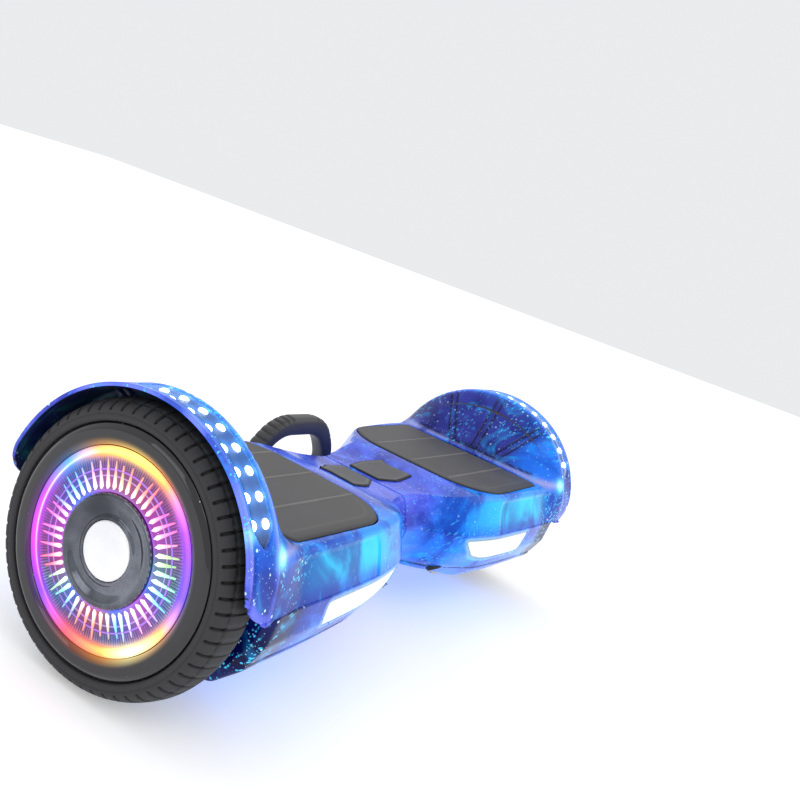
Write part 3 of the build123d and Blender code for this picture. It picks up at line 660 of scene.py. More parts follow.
def thicken(piece: bpy.types.Object, depth: float, inner: int = 0) -> bpy.types.Object:
    """Give a sheet its wall, inwards, in millimetres.

    Args:
        piece: The piece.
        depth: Thickness in millimetres.
        inner: Steps from the outer face's material to the inner one's.

    Returns:
        The same piece.
    """
    wall = piece.modifiers.new("wall", "SOLIDIFY")
    wall.thickness = depth * MM
    wall.offset = -1
    wall.material_offset = inner
    return piece


def hold_side(piece: bpy.types.Object, start: float) -> bpy.types.Object:
    """Make a skin's wall final and hold it on its own side of the middle.

    Args:
        piece: A skin with its wall modifier.
        start: Nearest that the skin may come to the middle, in millimetres.

    Returns:
        The same piece.
    """
    mesh = bpy.data.meshes.new_from_object(piece.evaluated_get(bpy.context.evaluated_depsgraph_get()))
    piece.modifiers.clear()
    piece.data = mesh
    places = np.empty(len(mesh.vertices) * 3)
    mesh.vertices.foreach_get("co", places)
    places = places.reshape(-1, 3)
    way = math.copysign(1.0, places[:, 0].mean())
    places[:, 0] = way * np.maximum(places[:, 0] * way, start * MM)
    mesh.vertices.foreach_set("co", places.ravel())
    mesh.update()
    return piece


def ease_edges(piece: bpy.types.Object, width: float, angle: float = 40.0,
               segments: int = 2) -> bpy.types.Object:
    """Round a piece's sharp edges.

    Args:
        piece: The piece.
        width: Width in millimetres.
        angle: Corners sharper than this are rounded, in degrees.
        segments: Faces across a rounded edge.

    Returns:
        The same piece.
    """
    bevel = piece.modifiers.new("edges", "BEVEL")
    bevel.width = width * MM
    bevel.segments = segments
    bevel.angle_limit = math.radians(angle)
    bevel.harden_normals = False
    return piece


def fit(piece: bpy.types.Object, body: str, slot: str, *nodes: str) -> bpy.types.Object:
    """Fix a piece to its body, hide the nodes that it stands for, and report it.

    Args:
        piece: The piece.
        body: The body that it moves with.
        slot: Not used.
        nodes: The CAD nodes that it stands for.

    Returns:
        The same piece.
    """
    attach(piece, body)
    if nodes:
        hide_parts(*nodes)
    LOG.info("%s rides %s, %d points", piece.name, body, len(piece.data.vertices))
    return piece


def lathe(profile: Sequence[tuple[float, float]], steps: int | np.ndarray, axle: float) -> Sheet:
    """Surface turned about the axle.

    Args:
        profile: (x, radius) points in millimetres.
        steps: How many even steps there are, or the shares of a turn to stop at.
        axle: Height of the axle.

    Returns:
        The surface.
    """
    turn = 2 * math.pi * (np.arange(steps) / steps if isinstance(steps, int) else steps)
    rows = np.array(profile)
    grid = np.empty((len(turn), len(rows), 3))
    grid[:, :, 0] = rows[:, 0]
    grid[:, :, 1] = -np.cos(turn)[:, None] * rows[:, 1]
    grid[:, :, 2] = np.sin(turn)[:, None] * rows[:, 1] + axle
    return Sheet(grid, wrap=True)


def polygon_distance(points: np.ndarray, corners: Sequence[tuple[float, float]]) -> np.ndarray:
    """Signed distance of flat points to a polygon, negative inside.

    Args:
        points: Flat points.
        corners: Corners in order.

    Returns:
        Signed distances, negative inside.
    """
    nearest = np.full(len(points), 1e9)
    inside = np.zeros(len(points), bool)
    for (ax, ay), (bx, by) in zip(corners, list(corners[1:]) + [corners[0]]):
        edge = np.array([bx - ax, by - ay])
        offset = points - (ax, ay)
        share = np.clip(offset @ edge / (edge @ edge), 0, 1)
        nearest = np.minimum(nearest, np.linalg.norm(offset - share[:, None] * edge, axis=1))
        if ay != by:
            crosses = (points[:, 1] < ay) != (points[:, 1] < by)
            at = (bx - ax) * (points[:, 1] - ay) / (by - ay) + ax
            inside ^= crosses & (points[:, 0] < at)
    return np.where(inside, -nearest, nearest)


# ---- the outer form

@dataclass(frozen=True)
class Form:
    """Outline of a half's shells, in millimetres, drawn at +X."""

    axle: float = 85.0
    fender: float = 93.0
    seam: float = 86.0
    gap: float = 0.2
    top: float = 117.0
    belly: float = 28.0
    start: float = 0.6
    ramp_foot: float = 222.0
    arch: float = 258.0
    end: float = 250.0
    outer: float = 288.0
    corner: float = 27.0
    crease: tuple[float, float] = (10.0, 2.5)
    top_inset: float = 13.0
    side_levels: tuple[tuple[float, float], ...] = ((0.655, 2.0), (0.31, 11.0), (0.035, 27.0))

    def knots(self) -> list[tuple[float, float, float, float, float]]:
        """Chosen sections: x, front and rear half-widths, top and bottom.

        Returns:
            Rows of x, front, rear, top and low edge.
        """
        full, top, low = self.fender, self.top, self.belly
        return [(self.start, full - 43, full - 43, top - 7, low + 17),
                (28, full - 37, full - 38, top - 6, low + 17),
                (46, full - 25, full - 34.5, top - 4, low + 15.5),
                (62, full - 16, full - 33, top - 1.5, low + 14),
                (80, full - 11.5, full - 25, top, low + 11.5), (125, full - 5.5, full - 7, top, low + 3),
                (self.ramp_foot, full - 2, full - 2, top, low)]

    def at(self, x: float) -> tuple[float, float, float, float]:
        """Front and rear half-widths, top and bottom at a place along the platform.

        Args:
            x: Distance from the middle, in millimetres.

        Returns:
            Front, rear, top and low edge there.
        """
        rows = self.knots()
        index = max(i for i in range(len(rows) - 1) if rows[i][0] <= max(x, self.start))
        start, end = rows[index], rows[index + 1]
        span = end[0] - start[0]
        t = (x - start[0]) / span
        values = []
        for column in range(1, 5):
            rise = span * self._slope(rows, index, column)
            settle = span * self._slope(rows, index + 1, column)
            values.append(start[column] * (2 * t**3 - 3 * t**2 + 1) + rise * (t**3 - 2 * t**2 + t)
                          + end[column] * (3 * t**2 - 2 * t**3) + settle * (t**3 - t**2))
        return tuple(values)

    @staticmethod
    def _slope(rows: Sequence[tuple], index: int, column: int) -> float:
        """Slope at a knot that never overshoots.

        Args:
            rows: The rows of sizes.
            index: The row.
            column: The size in that row.

        Returns:
            Slope of that size.
        """
        if index in (0, len(rows) - 1):
            return 0.0
        before = (rows[index][column] - rows[index - 1][column]) / (rows[index][0] - rows[index - 1][0])
        after = (rows[index + 1][column] - rows[index][column]) / (rows[index + 1][0] - rows[index][0])
        return 0.0 if before * after <= 0 else 2 * before * after / (before + after)

    @staticmethod
    def _spread(corners: Sequence[tuple[float, float]], counts: Sequence[int]) -> np.ndarray:
        """Points along an outline, a set count on each side of it.

        Args:
            corners: Corners of the outline.
            counts: Steps along each side.

        Returns:
            The outline's points.
        """
        rows = []
        for (a, b), count in zip(zip(corners, corners[1:]), counts):
            t = np.linspace(0, 1, count, endpoint=False)[:, None]
            rows.append(np.array(a) * (1 - t) + np.array(b) * t)
        return np.vstack(rows + [np.array([corners[-1]], float)])

    UPPER_COUNTS = (26, 5, 210, 5, 26)

    def upper_row(self, x: float) -> np.ndarray:
        """Upper outline at x as (y, z) points, front to rear.

        Args:
            x: Distance from the middle, in millimetres.

        Returns:
            The outline.
        """
        front, rear, top, _ = self.at(x)
        (inset, drop), seam = self.crease, self.seam
        corners = [(-front, seam), (-front + inset, top - drop), (-front + self.top_inset, top),
                   (rear - self.top_inset, top), (rear - inset, top - drop), (rear, seam)]
        return self._spread(corners, self.UPPER_COUNTS)

    def arch_row(self) -> np.ndarray:
        """Fender's half circle as (y, z) points, front to rear.

        Returns:
            The outline.
        """
        stops = (180.0, 162.0, 158.0, 22.0, 18.0, 0.0)
        angles = self._spread([(a, 0) for a in stops], self.UPPER_COUNTS)[:, 0]
        turn = np.radians(angles)
        return np.stack([self.fender * np.cos(turn), self.axle + self.fender * np.sin(turn)], axis=1)

    def upper(self) -> Sheet:
        """Platform, ramp and fender as one sheet.

        Returns:
            The sheet.
        """
        columns = []
        first = self.upper_row(self.start)
        spokes = first - (0, self.axle)
        ring = spokes / np.linalg.norm(spokes, axis=1, keepdims=True) * 14.6 + (0, self.axle)
        columns += [(self.start, ring + (first - ring) * t) for t in np.linspace(0, 1, 14, endpoint=False)]
        columns += [(x, self.upper_row(x)) for x in np.linspace(self.start, self.ramp_foot, 150)]
        foot, arch = self.upper_row(self.ramp_foot), self.arch_row()
        for t in np.linspace(0, 1, 31)[1:]:
            columns.append((self.ramp_foot + t * (self.arch - self.ramp_foot), foot + (arch - foot) * t))
        columns += [(x, arch) for x in np.linspace(self.arch, self.outer, 27)[1:]]
        sheet = self._grid(columns)
        sheet.smooth(2, slice(14, None))
        sheet.smooth(5, slice(150, 210))
        low = sheet.points[:, :, 2]
        sheet.points[:, :, 2] = np.maximum(low, self.seam + self.gap)
        return sheet

    LOWER_COUNTS = (18, 38, 22, 8, 78, 8, 22, 38, 18)

    def lower_row(self, x: float, wider: float = 0.0) -> np.ndarray:
        """Lower outline at x as (y, z) points, rear to front.

        Args:
            x: Distance from the middle, in millimetres.
            wider: How much wider than the shell, in millimetres.

        Returns:
            The outline.
        """
        front, rear, _, low = self.at(min(x, self.ramp_foot))
        front, rear, depth = front + wider, rear + wider, self.seam - low
        sides = [(offset, low + share * depth) for share, offset in self.side_levels] + [(35.0, low)]
        corners = [(rear, self.seam)] + [(rear - o, z) for o, z in sides]
        corners += [(-front + o, z) for o, z in reversed(sides)] + [(-front, self.seam)]
        return self._spread(corners, self.LOWER_COUNTS)

    def lower(self) -> Sheet:
        """Underside as one sheet, closed at both ends round its shafts.

        Returns:
            The sheet.
        """
        first, last = self.lower_row(self.start), self.lower_row(self.end, 1.5)

        def ring(row: np.ndarray, radius: float) -> np.ndarray:
            """Circle round the axle, point for point with a row."""
            spokes = row - (0, self.axle + 0.3)
            return spokes / np.linalg.norm(spokes, axis=1, keepdims=True) * radius + (0, self.axle + 0.3)

        inner, outer = ring(first, 14.6), ring(last, 8.8)
        columns = [(self.start, inner + (first - inner) * t) for t in np.linspace(0, 1, 12, endpoint=False)]
        columns += [(x, self.lower_row(x)) for x in np.linspace(self.start, self.ramp_foot, 150)]
        for t in np.linspace(0, 1, 20)[1:]:
            columns.append((self.ramp_foot + t * (self.end - self.ramp_foot),
                            self.lower_row(self.ramp_foot, 1.5 * t)))
        columns += [(self.end, last + (outer - last) * t) for t in np.linspace(0, 1, 16)[1:]]
        sheet = self._grid(columns)
        sheet.smooth(6, slice(12, 182))
        sheet.points[:, :, 2] = np.minimum(sheet.points[:, :, 2], self.seam - self.gap)
        return sheet

    @staticmethod
    def _grid(columns: Sequence[tuple[float, np.ndarray]]) -> Sheet:
        """Sheet from (x, outline) columns.

        Args:
            columns: (x, outline) pairs from the middle outwards.

        Returns:
            The sheet.
        """
        grid = np.empty((len(columns[0][1]), len(columns), 3))
        for index, (x, row) in enumerate(columns):
            grid[:, index, 0] = x
            grid[:, index, 1:] = row
        return Sheet(grid)


@dataclass
class Lights:
    """Fender strip and headlight of one half, in millimetres."""

    form: Form = Form()
    middle: float = 272.5
    half: float = 9.5
    angles: tuple[float, float] = (34.0, 99.0)
    pairs: int = 8
    spacing: float = 12.0
    dome: float = 3.0
    tip: float = 26.0
    full: float = 31.5
    last: float = 104.0
    headlight: tuple[tuple[float, float], ...] = (
        (64, 83), (186, 83), (181, 64), (176, 62), (104, 62), (84, 66), (72, 75))

    def strip(self, points: np.ndarray) -> np.ndarray:
        """Distance to the edge of the light strip.

        Args:
            points: (x, y, z) points in millimetres, as on the right half.

        Returns:
            Signed distances, negative inside.
        """
        form = self.form
        angle = np.degrees(np.arctan2(points[:, 2] - form.axle, -points[:, 1]))
        run = math.pi / 180 * form.fender
        flat = np.stack([points[:, 0], angle * run], axis=1)
        corners = round_corners([(self.middle - self.half, self.last * run),
                                 (self.middle + self.half, self.last * run),
                                 (self.middle + self.half, self.full * run),
                                 (self.middle + 2, self.tip * run),
                                 (self.middle - 2, self.tip * run),
                                 (self.middle - self.half, self.full * run)], 3, 4, True)
        return polygon_distance(flat, corners)

    def lens(self, points: np.ndarray) -> np.ndarray:
        """Distance to the edge of the headlight."""
        away = np.where(points[:, 1] < 0, 0.0, 50.0)
        corners = round_corners(self.headlight, 5.0, 5, True)
        return polygon_distance(points[:, (0, 2)], corners) + away

    def lamp_places(self) -> np.ndarray:
        """Middle of every fender lamp, on the strip.

        Returns:
            One row per lamp, in millimetres.
        """
        places = []
        for angle in np.radians(np.linspace(*self.angles, self.pairs)):
            for offset in (-self.spacing / 2, self.spacing / 2):
                places.append((self.middle + offset, -self.form.fender * math.cos(angle),
                               self.form.axle + self.form.fender * math.sin(angle)))
        return np.array(places)

    def halo(self, points: np.ndarray, width: float) -> np.ndarray:
        """Light that the lamps throw on nearby points.

        Args:
            points: (x, y, z) points in millimetres, as on the right half.
            width: Reach of a lamp's light, in millimetres.

        Returns:
            Brightness at each point.
        """
        total = np.zeros(len(points))
        for place in self.lamp_places():
            total += np.exp(-np.sum((points - place) ** 2, axis=1) / width ** 2)
        return total

    def build(self, side: Side, sheet: Sheet, palette: Palette) -> None:
        """Make the lamp domes and the board under the strip.

        Args:
            side: The half that it belongs to.
            sheet: The skin that it is cut from.
            palette: The finishes.
        """
        steps = np.linspace(0, math.pi / 2, 7)
        points, faces = [], []
        for x, y, z in self.lamp_places():
            out = np.array((0, y, z - self.form.axle)) / self.form.fender
            side_way = np.cross((1, 0, 0), out)
            base = np.array((x, y, z)) - out * 2.6
            first = len(points)
            for rise in steps:
                for turn in np.linspace(0, 2 * math.pi, 16, endpoint=False):
                    ring = math.cos(rise) * self.dome
                    points.append(base + np.array((1, 0, 0)) * math.cos(turn) * ring + side_way
                                  * math.sin(turn) * ring
                                  + out * math.sin(rise) * 1.5)
            for row in range(len(steps) - 1):
                for k in range(16):
                    a, b = first + row * 16 + k, first + row * 16 + (k + 1) % 16
                    faces.append((a, b, b + 16, a + 16))
            faces.append(tuple(first + 15 - k for k in range(16)))
        points = np.array(points) * MM
        if side is Side.LEFT:
            points = points * (-1, 1, 1)
            faces = [face[::-1] for face in faces]
        domes = solid(f"{side.word}_strip_lamps", points, faces, [palette["lamp_dome"]])
        store(domes, "light", np.tile((0.85, 0.95, 1.0), (len(points), 1)))
        store(domes, "tint", np.tile((0.9, 0.95, 1.0), (len(points), 1)))
        fit(domes, f"{side.word}_half", "light_board", f"{side.word}_fender_lights")
        copy = Sheet(sheet.points.copy())
        _, board = copy.split(lambda p: self.strip(p) + 0.9)
        made = thicken(copy.piece(f"{side.word}_strip_board", board, side, [palette["light_board"]], -2.9),
                       0.8)
        fit(made, f"{side.word}_half", "light_board", f"{side.word}_fender_lights")


@dataclass
class Shells:
    """Printed skins of one half, with their strip window and headlight lens."""

    form: Form = Form()
    lights: Lights = field(default_factory=Lights)
    wall: float = 2.3
    line: float = 0.85
    pad_room: float = 1.1
    button: tuple[float, float] = (66.0, 6.4)
    socket: tuple[float, float, float] = (150.0, 72.0, 11.7)
    pad_corners: tuple[tuple[float, float], ...] = ((5.5, -11), (24, -19), (52, -19), (49, 5), (54, 12),
                                                    (30, 19), (5.5, 17))

    def tray(self, points: np.ndarray) -> np.ndarray:
        """Distance to the edge of the foot pad's opening."""
        away = np.where(points[:, 2] > self.form.top - 4, 0.0, 60.0)
        return FootPad.outline(points) - self.pad_room + away

    def upper_lines(self, points: np.ndarray) -> np.ndarray:
        """Depth of the panel lines on the upper skin.

        Args:
            points: (x, y, z) points in millimetres, as on the right half.

        Returns:
            Depths in millimetres.
        """
        x, y, z = points.T
        form = self.form
        depth = np.zeros(len(points))
        wall_zone = ease(x, form.ramp_foot + 1, form.ramp_foot + 4) * ease(x, form.arch + 4, form.arch + 1)
        above_top = ease(z, form.top + 5, form.top + 8)
        for angle in (-32.0, 0.0, 32.0):
            turn = math.radians(angle)
            across = y * math.cos(turn) + (z - form.axle) * math.sin(turn)
            for offset in (-2.9, 2.9):
                depth += bell(across, offset, 1.25) * wall_zone * above_top * self.line
        depth += bell(z, form.top + 5.6, 1.0) * ease(abs(y), 64, 60) * wall_zone * self.line
        depth += bell(x, 283.0, 0.9) * self.line * 0.8
        bead = bell(x, 260.5, 1.3) * ease(z, 95, 110)
        depth -= bead * 0.5
        return depth + self.front_panel(points) * 0.9

    def front_panel(self, points: np.ndarray) -> np.ndarray:
        """1 inside the recessed panel of the front face.

        Args:
            points: (x, y, z) points in millimetres, as on the right half.

        Returns:
            A share per point.
        """
        x, y, z = points.T
        corners = round_corners([(116, 60), (116, 112.2), (262, 112.2), (262, 60)], 11, 7, True)
        inside = ease(polygon_distance(points[:, (0, 2)], corners), 0.9, -0.9)
        return inside * ease(x, 246, 222) * (y < -40)

    def upper_tones(self, points: np.ndarray) -> dict[str, np.ndarray]:
        """Zone colours with painted rim highlights and groove shade, star share, and the painted lamp glow
        and glint of the upper skin.

        Args:
            points: (x, y, z) points in millimetres, as on the right half.

        Returns:
            Values by attribute name.
        """
        x, y, z = points.T
        form = self.form
        tone = np.tile(hue("2f5ee8"), (len(points), 1))
        tone = blend(tone, "4f62ea", ease(x, 100, 20))
        front = ease(y, -45, -70)
        face = front * ease(z, form.top - 1, form.top - 6)
        tone = blend(tone, "2292ff", front * 0.9)
        tone = blend(tone, "0c8cfc", face)
        panel = self.front_panel(points) * face
        tone = blend(tone, "0678ee", panel)
        tone = blend(tone, "08ccff",
                     np.maximum(panel, face * 0.7) * ease(abs(x - 160), 105, 40) * ease(z, 82, 102))
        tone = blend(tone, "0862e0", ease(z, 96, 86) * face * 0.6)
        lobe = ease(x, 206, 240) * np.maximum(face, ease(x, form.arch - 4, form.arch))
        tone = blend(tone, "0444b4", lobe)
        wall_zone = (ease(x, form.ramp_foot, form.ramp_foot + 3) * ease(x, form.arch + 1, form.arch - 2)
                     * ease(z, 110, 116))
        tone = blend(tone, "2b2f88", wall_zone * 0.95)
        tone = blend(tone, "1474f0", wall_zone * ease(y, -26, -52) * 0.85)
        tone = blend(tone, "8f96d8", bell(z, form.top + 2.5, 2.6) * wall_zone)
        hood = ease(x, form.arch - 1, form.arch + 1)
        tone = blend(tone, "064cc4", hood)
        tone = blend(tone, "127ae8", hood * ease(z, 130, 172) * 0.6)
        # painted highlights: a pale line along the raised inner bead and a pale band along the outer lip
        # stand in for light on these rounded edges
        tone = blend(tone, "7f90ff", bell(x, 260.5, 2.0) * hood * 0.85)
        edge = self.fender_edge(points)
        tone = blend(tone, "6b78fa", ease(edge, -5.4, -4.2) * hood)
        # painted shade: the lip groove and the ramp wall's panel lines are cut in the mesh, and their darker
        # colour is painted shade
        tone = blend(tone, "10207e", bell(x, 283.0, 0.8) * hood * 0.8)
        lines = np.clip(self.upper_lines(points) / self.line, 0, 1) * wall_zone
        tone = blend(tone, "090d40", lines)
        stars = np.clip(0.35 + lobe * 0.65 + hood * 0.5 - panel * 0.25 * ease(x, 225, 200), 0, 1)
        # painted light: the fender lamps' glow painted on the skin round the strip
        glow = self.lights.halo(points, 9.5)
        shine = glow[:, None] * np.array((0.06, 0.34, 0.95)) * 0.42
        # painted glint: a bright cyan spot painted on the fender's inner wall, at its front
        glint = np.exp(-((x - 255) ** 2 + (y + 84) ** 2 + (z - 119) ** 2) / 30.0)
        shine += glint[:, None] * np.array((0.4, 1.6, 1.8))
        return {"tint": tone, "stars": stars, "glow": shine}

    def fender_edge(self, points: np.ndarray) -> np.ndarray:
        """Distance to the fender's outer rim and rounded lower corner, negative inside.

        Args:
            points: (x, y, z) points in millimetres, as on the right half.

        Returns:
            Signed distances, negative inside.
        """
        form = self.form
        x, z = points[:, 0], points[:, 2]
        dx, dz = x - (form.outer - form.corner), (form.seam + form.corner) - z
        outside = np.hypot(np.maximum(dx, 0), np.maximum(dz, 0))
        return np.minimum(np.maximum(dx, dz), 0) + outside - form.corner

    def lower_tones(self, points: np.ndarray) -> dict[str, np.ndarray]:
        """Zone colours with painted groove shade, star share and the painted headlight glow of the lower
        skin.

        Args:
            points: (x, y, z) points in millimetres, as on the right half.

        Returns:
            Values by attribute name.
        """
        x, y, z = points.T
        tone = np.tile(hue("2f6cee"), (len(points), 1))
        tone = blend(tone, "3f96ff", bell(z, 62, 12) * (y < 0) * 0.7)
        tone = blend(tone, "1c92ff", ease(z, 46, 34))
        tone = blend(tone, "1478f4", ease(x, 100, 40) * 0.8)
        tone = blend(tone, "08165e", ease(x, 205, 232))
        tone = blend(tone, "0b3bb0", (y > 0) * ease(x, 230, 120) * 0.45)
        # painted shade: the groove round the lower skin is cut in the mesh, and its darker colour is painted
        # shade
        groove = bell(z, 50.5, 1.0) * ease(x, 30, 34)
        tone = blend(tone, "0a1450", groove * 0.9)
        # painted light: a pale blue glow painted on the skin round the headlight's edge
        near = ease(abs(self.lights.lens(points)), 4, 1)
        shine = (near * 0.5)[:, None] * np.array((0.25, 0.55, 0.9))
        stars = np.clip(0.3 + ease(x, 190, 230) * 0.7, 0, 1)
        return {"tint": tone, "stars": stars, "glow": shine}

    def lower_holes(self, side: Side) -> list[Region]:
        """Openings of the lower skin beside the headlight.

        Args:
            side: The half that it belongs to.

        Returns:
            A distance function for each opening.
        """
        if side is Side.LEFT:
            return []
        x0, radius = self.button
        way = np.array((0.0, -0.608, -0.794))
        middle = np.array((x0, -59.0, 49.0))

        def button(points: np.ndarray) -> np.ndarray:
            """Distance to the power button's hole."""
            offset = points - middle
            return np.linalg.norm(offset - (offset @ way)[:, None] * way,
                                  axis=1) - radius + np.where(points[:, 1] < 0, 0, 60)

        def socket(points: np.ndarray) -> np.ndarray:
            """Distance to the charging socket's seat."""
            sx, sz, sr = self.socket
            return np.hypot(points[:, 0] - sx, points[:, 2] - sz) - sr + np.where(points[:, 1] > 0, 0, 60)

        return [button, socket]

    def build(self, side: Side, palette: Palette) -> None:
        """Make the skins and what fills their openings.

        Args:
            side: The half that it belongs to.
            palette: The finishes.
        """
        word, body = side.word, f"{side.word}_half"
        shell = [palette["printed_shell"], palette["shell_inside"]]
        upper = self.form.upper()
        plain = upper.points.copy()
        upper.push(self.upper_lines(upper.flat))
        kept, tray, window, _ = upper.split(self.tray, self.lights.strip, self.keep)
        upper.tones = self.upper_tones(upper.flat)
        skin = hold_side(thicken(upper.piece(f"{word}_upper_skin", kept, side, shell), self.wall, 1),
                         self.form.start)
        fit(skin, body, "printed_shell", f"{word}_upper_shell")
        self._window(upper, window, side, palette)
        self.lights.build(side, Sheet(plain.copy()), palette)
        self._centre_pad(Sheet(plain.copy()), side, palette)
        self._bulkhead(side, palette)
        lower = self.form.lower()
        depth = bell(lower.flat[:, 2], 50.5, 0.85) * ease(lower.flat[:, 0], 29, 33) * self.line
        lower.push(depth * (lower.flat[:, 0] < self.form.end - 0.1))
        kept, lens, *_ = lower.split(self.lights.lens, *self.lower_holes(side))
        lower.tones = self.lower_tones(lower.flat)
        skin = hold_side(thicken(lower.piece(f"{word}_lower_skin", kept, side, shell), self.wall, 1),
                         self.form.start)
        fit(skin, body, "printed_shell", f"{word}_lower_shell")
        self._lens(lower, lens, side, palette)

    def keep(self, points: np.ndarray) -> np.ndarray:
        """Positive inside the fender's outline, negative beyond its rim and lower corner."""
        return np.where(points[:, 0] > 262, -self.fender_edge(points), 30.0)

    def _window(self, sheet: Sheet, faces: np.ndarray, side: Side, palette: Palette) -> None:
        """Tinted strip over the fender lamps.

        Args:
            sheet: The skin that it is cut from.
            faces: The faces that it keeps.
            side: The half that it belongs to.
            palette: The finishes.
        """
        points = sheet.flat
        edge = -self.lights.strip(points)
        tone = np.tile(hue("1b3a70"), (len(points), 1))
        tone = blend(tone, "0b1020", ease(edge, 1.4, 0.2))
        glow, wide = (self.lights.halo(points, width) for width in (4.6, 10.0))
        shine = glow[:, None] * np.array((0.08, 0.40, 1.1)) + wide[:, None] * np.array((0.01, 0.08, 0.30))
        sheet.tones = {"tint": tone, "light": shine}
        made = thicken(sheet.piece(f"{side.word}_strip_window", faces, side, [palette["tinted_window"]],
                                   -0.25), 0.9)
        fit(made, f"{side.word}_half", "tinted_window", f"{side.word}_fender_window")

    def _lens(self, sheet: Sheet, faces: np.ndarray, side: Side, palette: Palette) -> None:
        """Headlight lens, lit from behind.

        Args:
            sheet: The skin that it is cut from.
            faces: The faces that it keeps.
            side: The half that it belongs to.
            palette: The finishes.
        """
        points = sheet.flat
        edge = -self.lights.lens(points)
        core = ease(edge, 0.6, 3.0)
        shine = core[:, None] * np.array((0.95, 1.0, 1.0)) * (0.75 + 0.25 * ease(edge, 2, 8))[:, None]
        sheet.tones = {"tint": blend(np.tile((0.9, 0.95, 1.0), (len(points), 1)), "6f8f8c", 1 - core),
                       "light": shine}
        made = thicken(sheet.piece(f"{side.word}_headlight_glass", faces, side, [palette["clear_lens"]],
                                   -0.2), 1.8)
        fit(made, f"{side.word}_half", "clear_lens", f"{side.word}_headlight_lens")

    def _centre_pad(self, sheet: Sheet, side: Side, palette: Palette) -> None:
        """Grip pad beside the middle seam, laid on the skin.

        Args:
            sheet: The skin that it is cut from.
            side: The half that it belongs to.
            palette: The finishes.
        """
        corners = round_corners(self.pad_corners, 1.6, 4, True)

        def region(points: np.ndarray) -> np.ndarray:
            """Distance to the pad's edge."""
            return polygon_distance(points[:, :2], corners) + np.where(points[:, 2] > 104, 0, 60)

        _, faces = sheet.split(region)
        points = sheet.flat
        edge = -region(points)
        tone = np.tile(hue("565658"), (len(points), 1))
        tone = blend(tone, "141416", ease(edge, 2.2, 0.6))
        tone = blend(tone, "77777a", bell(edge, 3.2, 0.6) * 0.6)
        sheet.tones = {"tint": tone}
        lift = 1.5 - 0.6 * ease(edge, 1.2, 0.0)
        sheet.points = (points + sheet.normals() * lift[:, None]).reshape(sheet.points.shape)
        made = thicken(sheet.piece(f"{side.word}_centre_grip", faces, side, [palette["pad_rubber"]]), 1.3)
        fit(made, f"{side.word}_half", "grip_rubber", f"{side.word}_centre_pad")

    def _bulkhead(self, side: Side, palette: Palette) -> None:
        """Wall behind the wheel, round the axle.

        Args:
            side: The half that it belongs to.
            palette: The finishes.
        """
        form = self.form
        t = (form.end - form.ramp_foot) / (form.arch - form.ramp_foot)
        row = form.upper_row(form.ramp_foot) * (1 - t) + form.arch_row() * t
        row = np.stack([row[:, 0] * 0.972, form.axle + (row[:, 1] - form.axle) * 0.972], axis=1)
        row[:, 1] = np.maximum(row[:, 1], form.seam + form.gap)
        spokes = row - (0, form.axle)
        ring = spokes / np.linalg.norm(spokes, axis=1, keepdims=True) * 8.8 + (0, form.axle)
        ring[:, 1] = np.maximum(ring[:, 1], form.seam + form.gap)
        columns = [(form.end, row + (ring - row) * s) for s in np.linspace(0, 1, 24)]
        sheet = form._grid(columns)
        made = thicken(sheet.piece(f"{side.word}_wheel_bulkhead", None, side, [palette["shell_inside"]]), 2.3)
        fit(made, f"{side.word}_half", "printed_shell", f"{side.word}_upper_shell")


@dataclass
class FootPad:
    """Rubber foot pad of one half, in millimetres."""

    top: float = 118.2
    ribs: tuple[float, ...] = (-36.0, 0.0, 36.0)
    depth: float = 2.0
    BOX = (82.0, 221.0, 72.0)

    @classmethod
    def outline(cls, points: np.ndarray) -> np.ndarray:
        """Distance to the pad's edge, with wide corners towards the middle of the board.

        Args:
            points: (x, y, z) points in millimetres, as on the right half.

        Returns:
            Signed distances, negative inside.
        """
        low, high, half = cls.BOX
        middle = (low + high) / 2
        corner = np.where(points[:, 0] < middle, 44.0, 6.0)
        dx = abs(points[:, 0] - middle) - (high - low) / 2 + corner
        dy = abs(points[:, 1]) - half + corner
        return np.minimum(np.maximum(dx, dy), 0) + np.hypot(np.maximum(dx, 0), np.maximum(dy, 0)) - corner

    def build(self, side: Side, palette: Palette) -> None:
        """Make the pad.

        Args:
            side: The half that it belongs to.
            palette: The finishes.
        """
        low, high, half = self.BOX
        xs, ys = np.linspace(low - 1, high + 1, 160), np.linspace(-half - 1, half + 1, 200)
        grid = np.zeros((len(ys), len(xs), 3))
        grid[:, :, 0], grid[:, :, 1], grid[:, :, 2] = xs, ys[:, None], self.top
        sheet = Sheet(grid)
        _, faces = sheet.split(self.outline)
        x, y, _ = sheet.flat.T
        edge = -self.outline(sheet.flat)
        rib = sum(bell(y, at, 0.9) for at in self.ribs) * ease(edge, 3, 6)
        front = ease(y, -half + 9, -half + 1)
        relief = 0.75 * rib - 1.0 * ease(edge, 2.2, 0.0) - 0.2 * front
        sheet.points[:, :, 2] += relief.reshape(len(ys), len(xs))
        tone = blend(np.tile(hue("4c4b4b"), (len(x), 1)), "0c0c0d", ease(edge, 1.7, 0.4))
        tone = blend(tone, "8b8680", rib * 0.65)
        tone = blend(tone, "3a393a", front * 0.6)
        tone = blend(tone, "5c5a58", bell(edge, 9.0, 0.8) * (y < 0) * 0.8)
        sheet.tones = {"tint": tone}
        made = thicken(sheet.piece(f"{side.word}_foot_grip", faces, side, [palette["pad_rubber"]]),
                       self.depth)
        fit(made, f"{side.word}_pad", "grip_rubber", f"{side.word}_foot_pad")


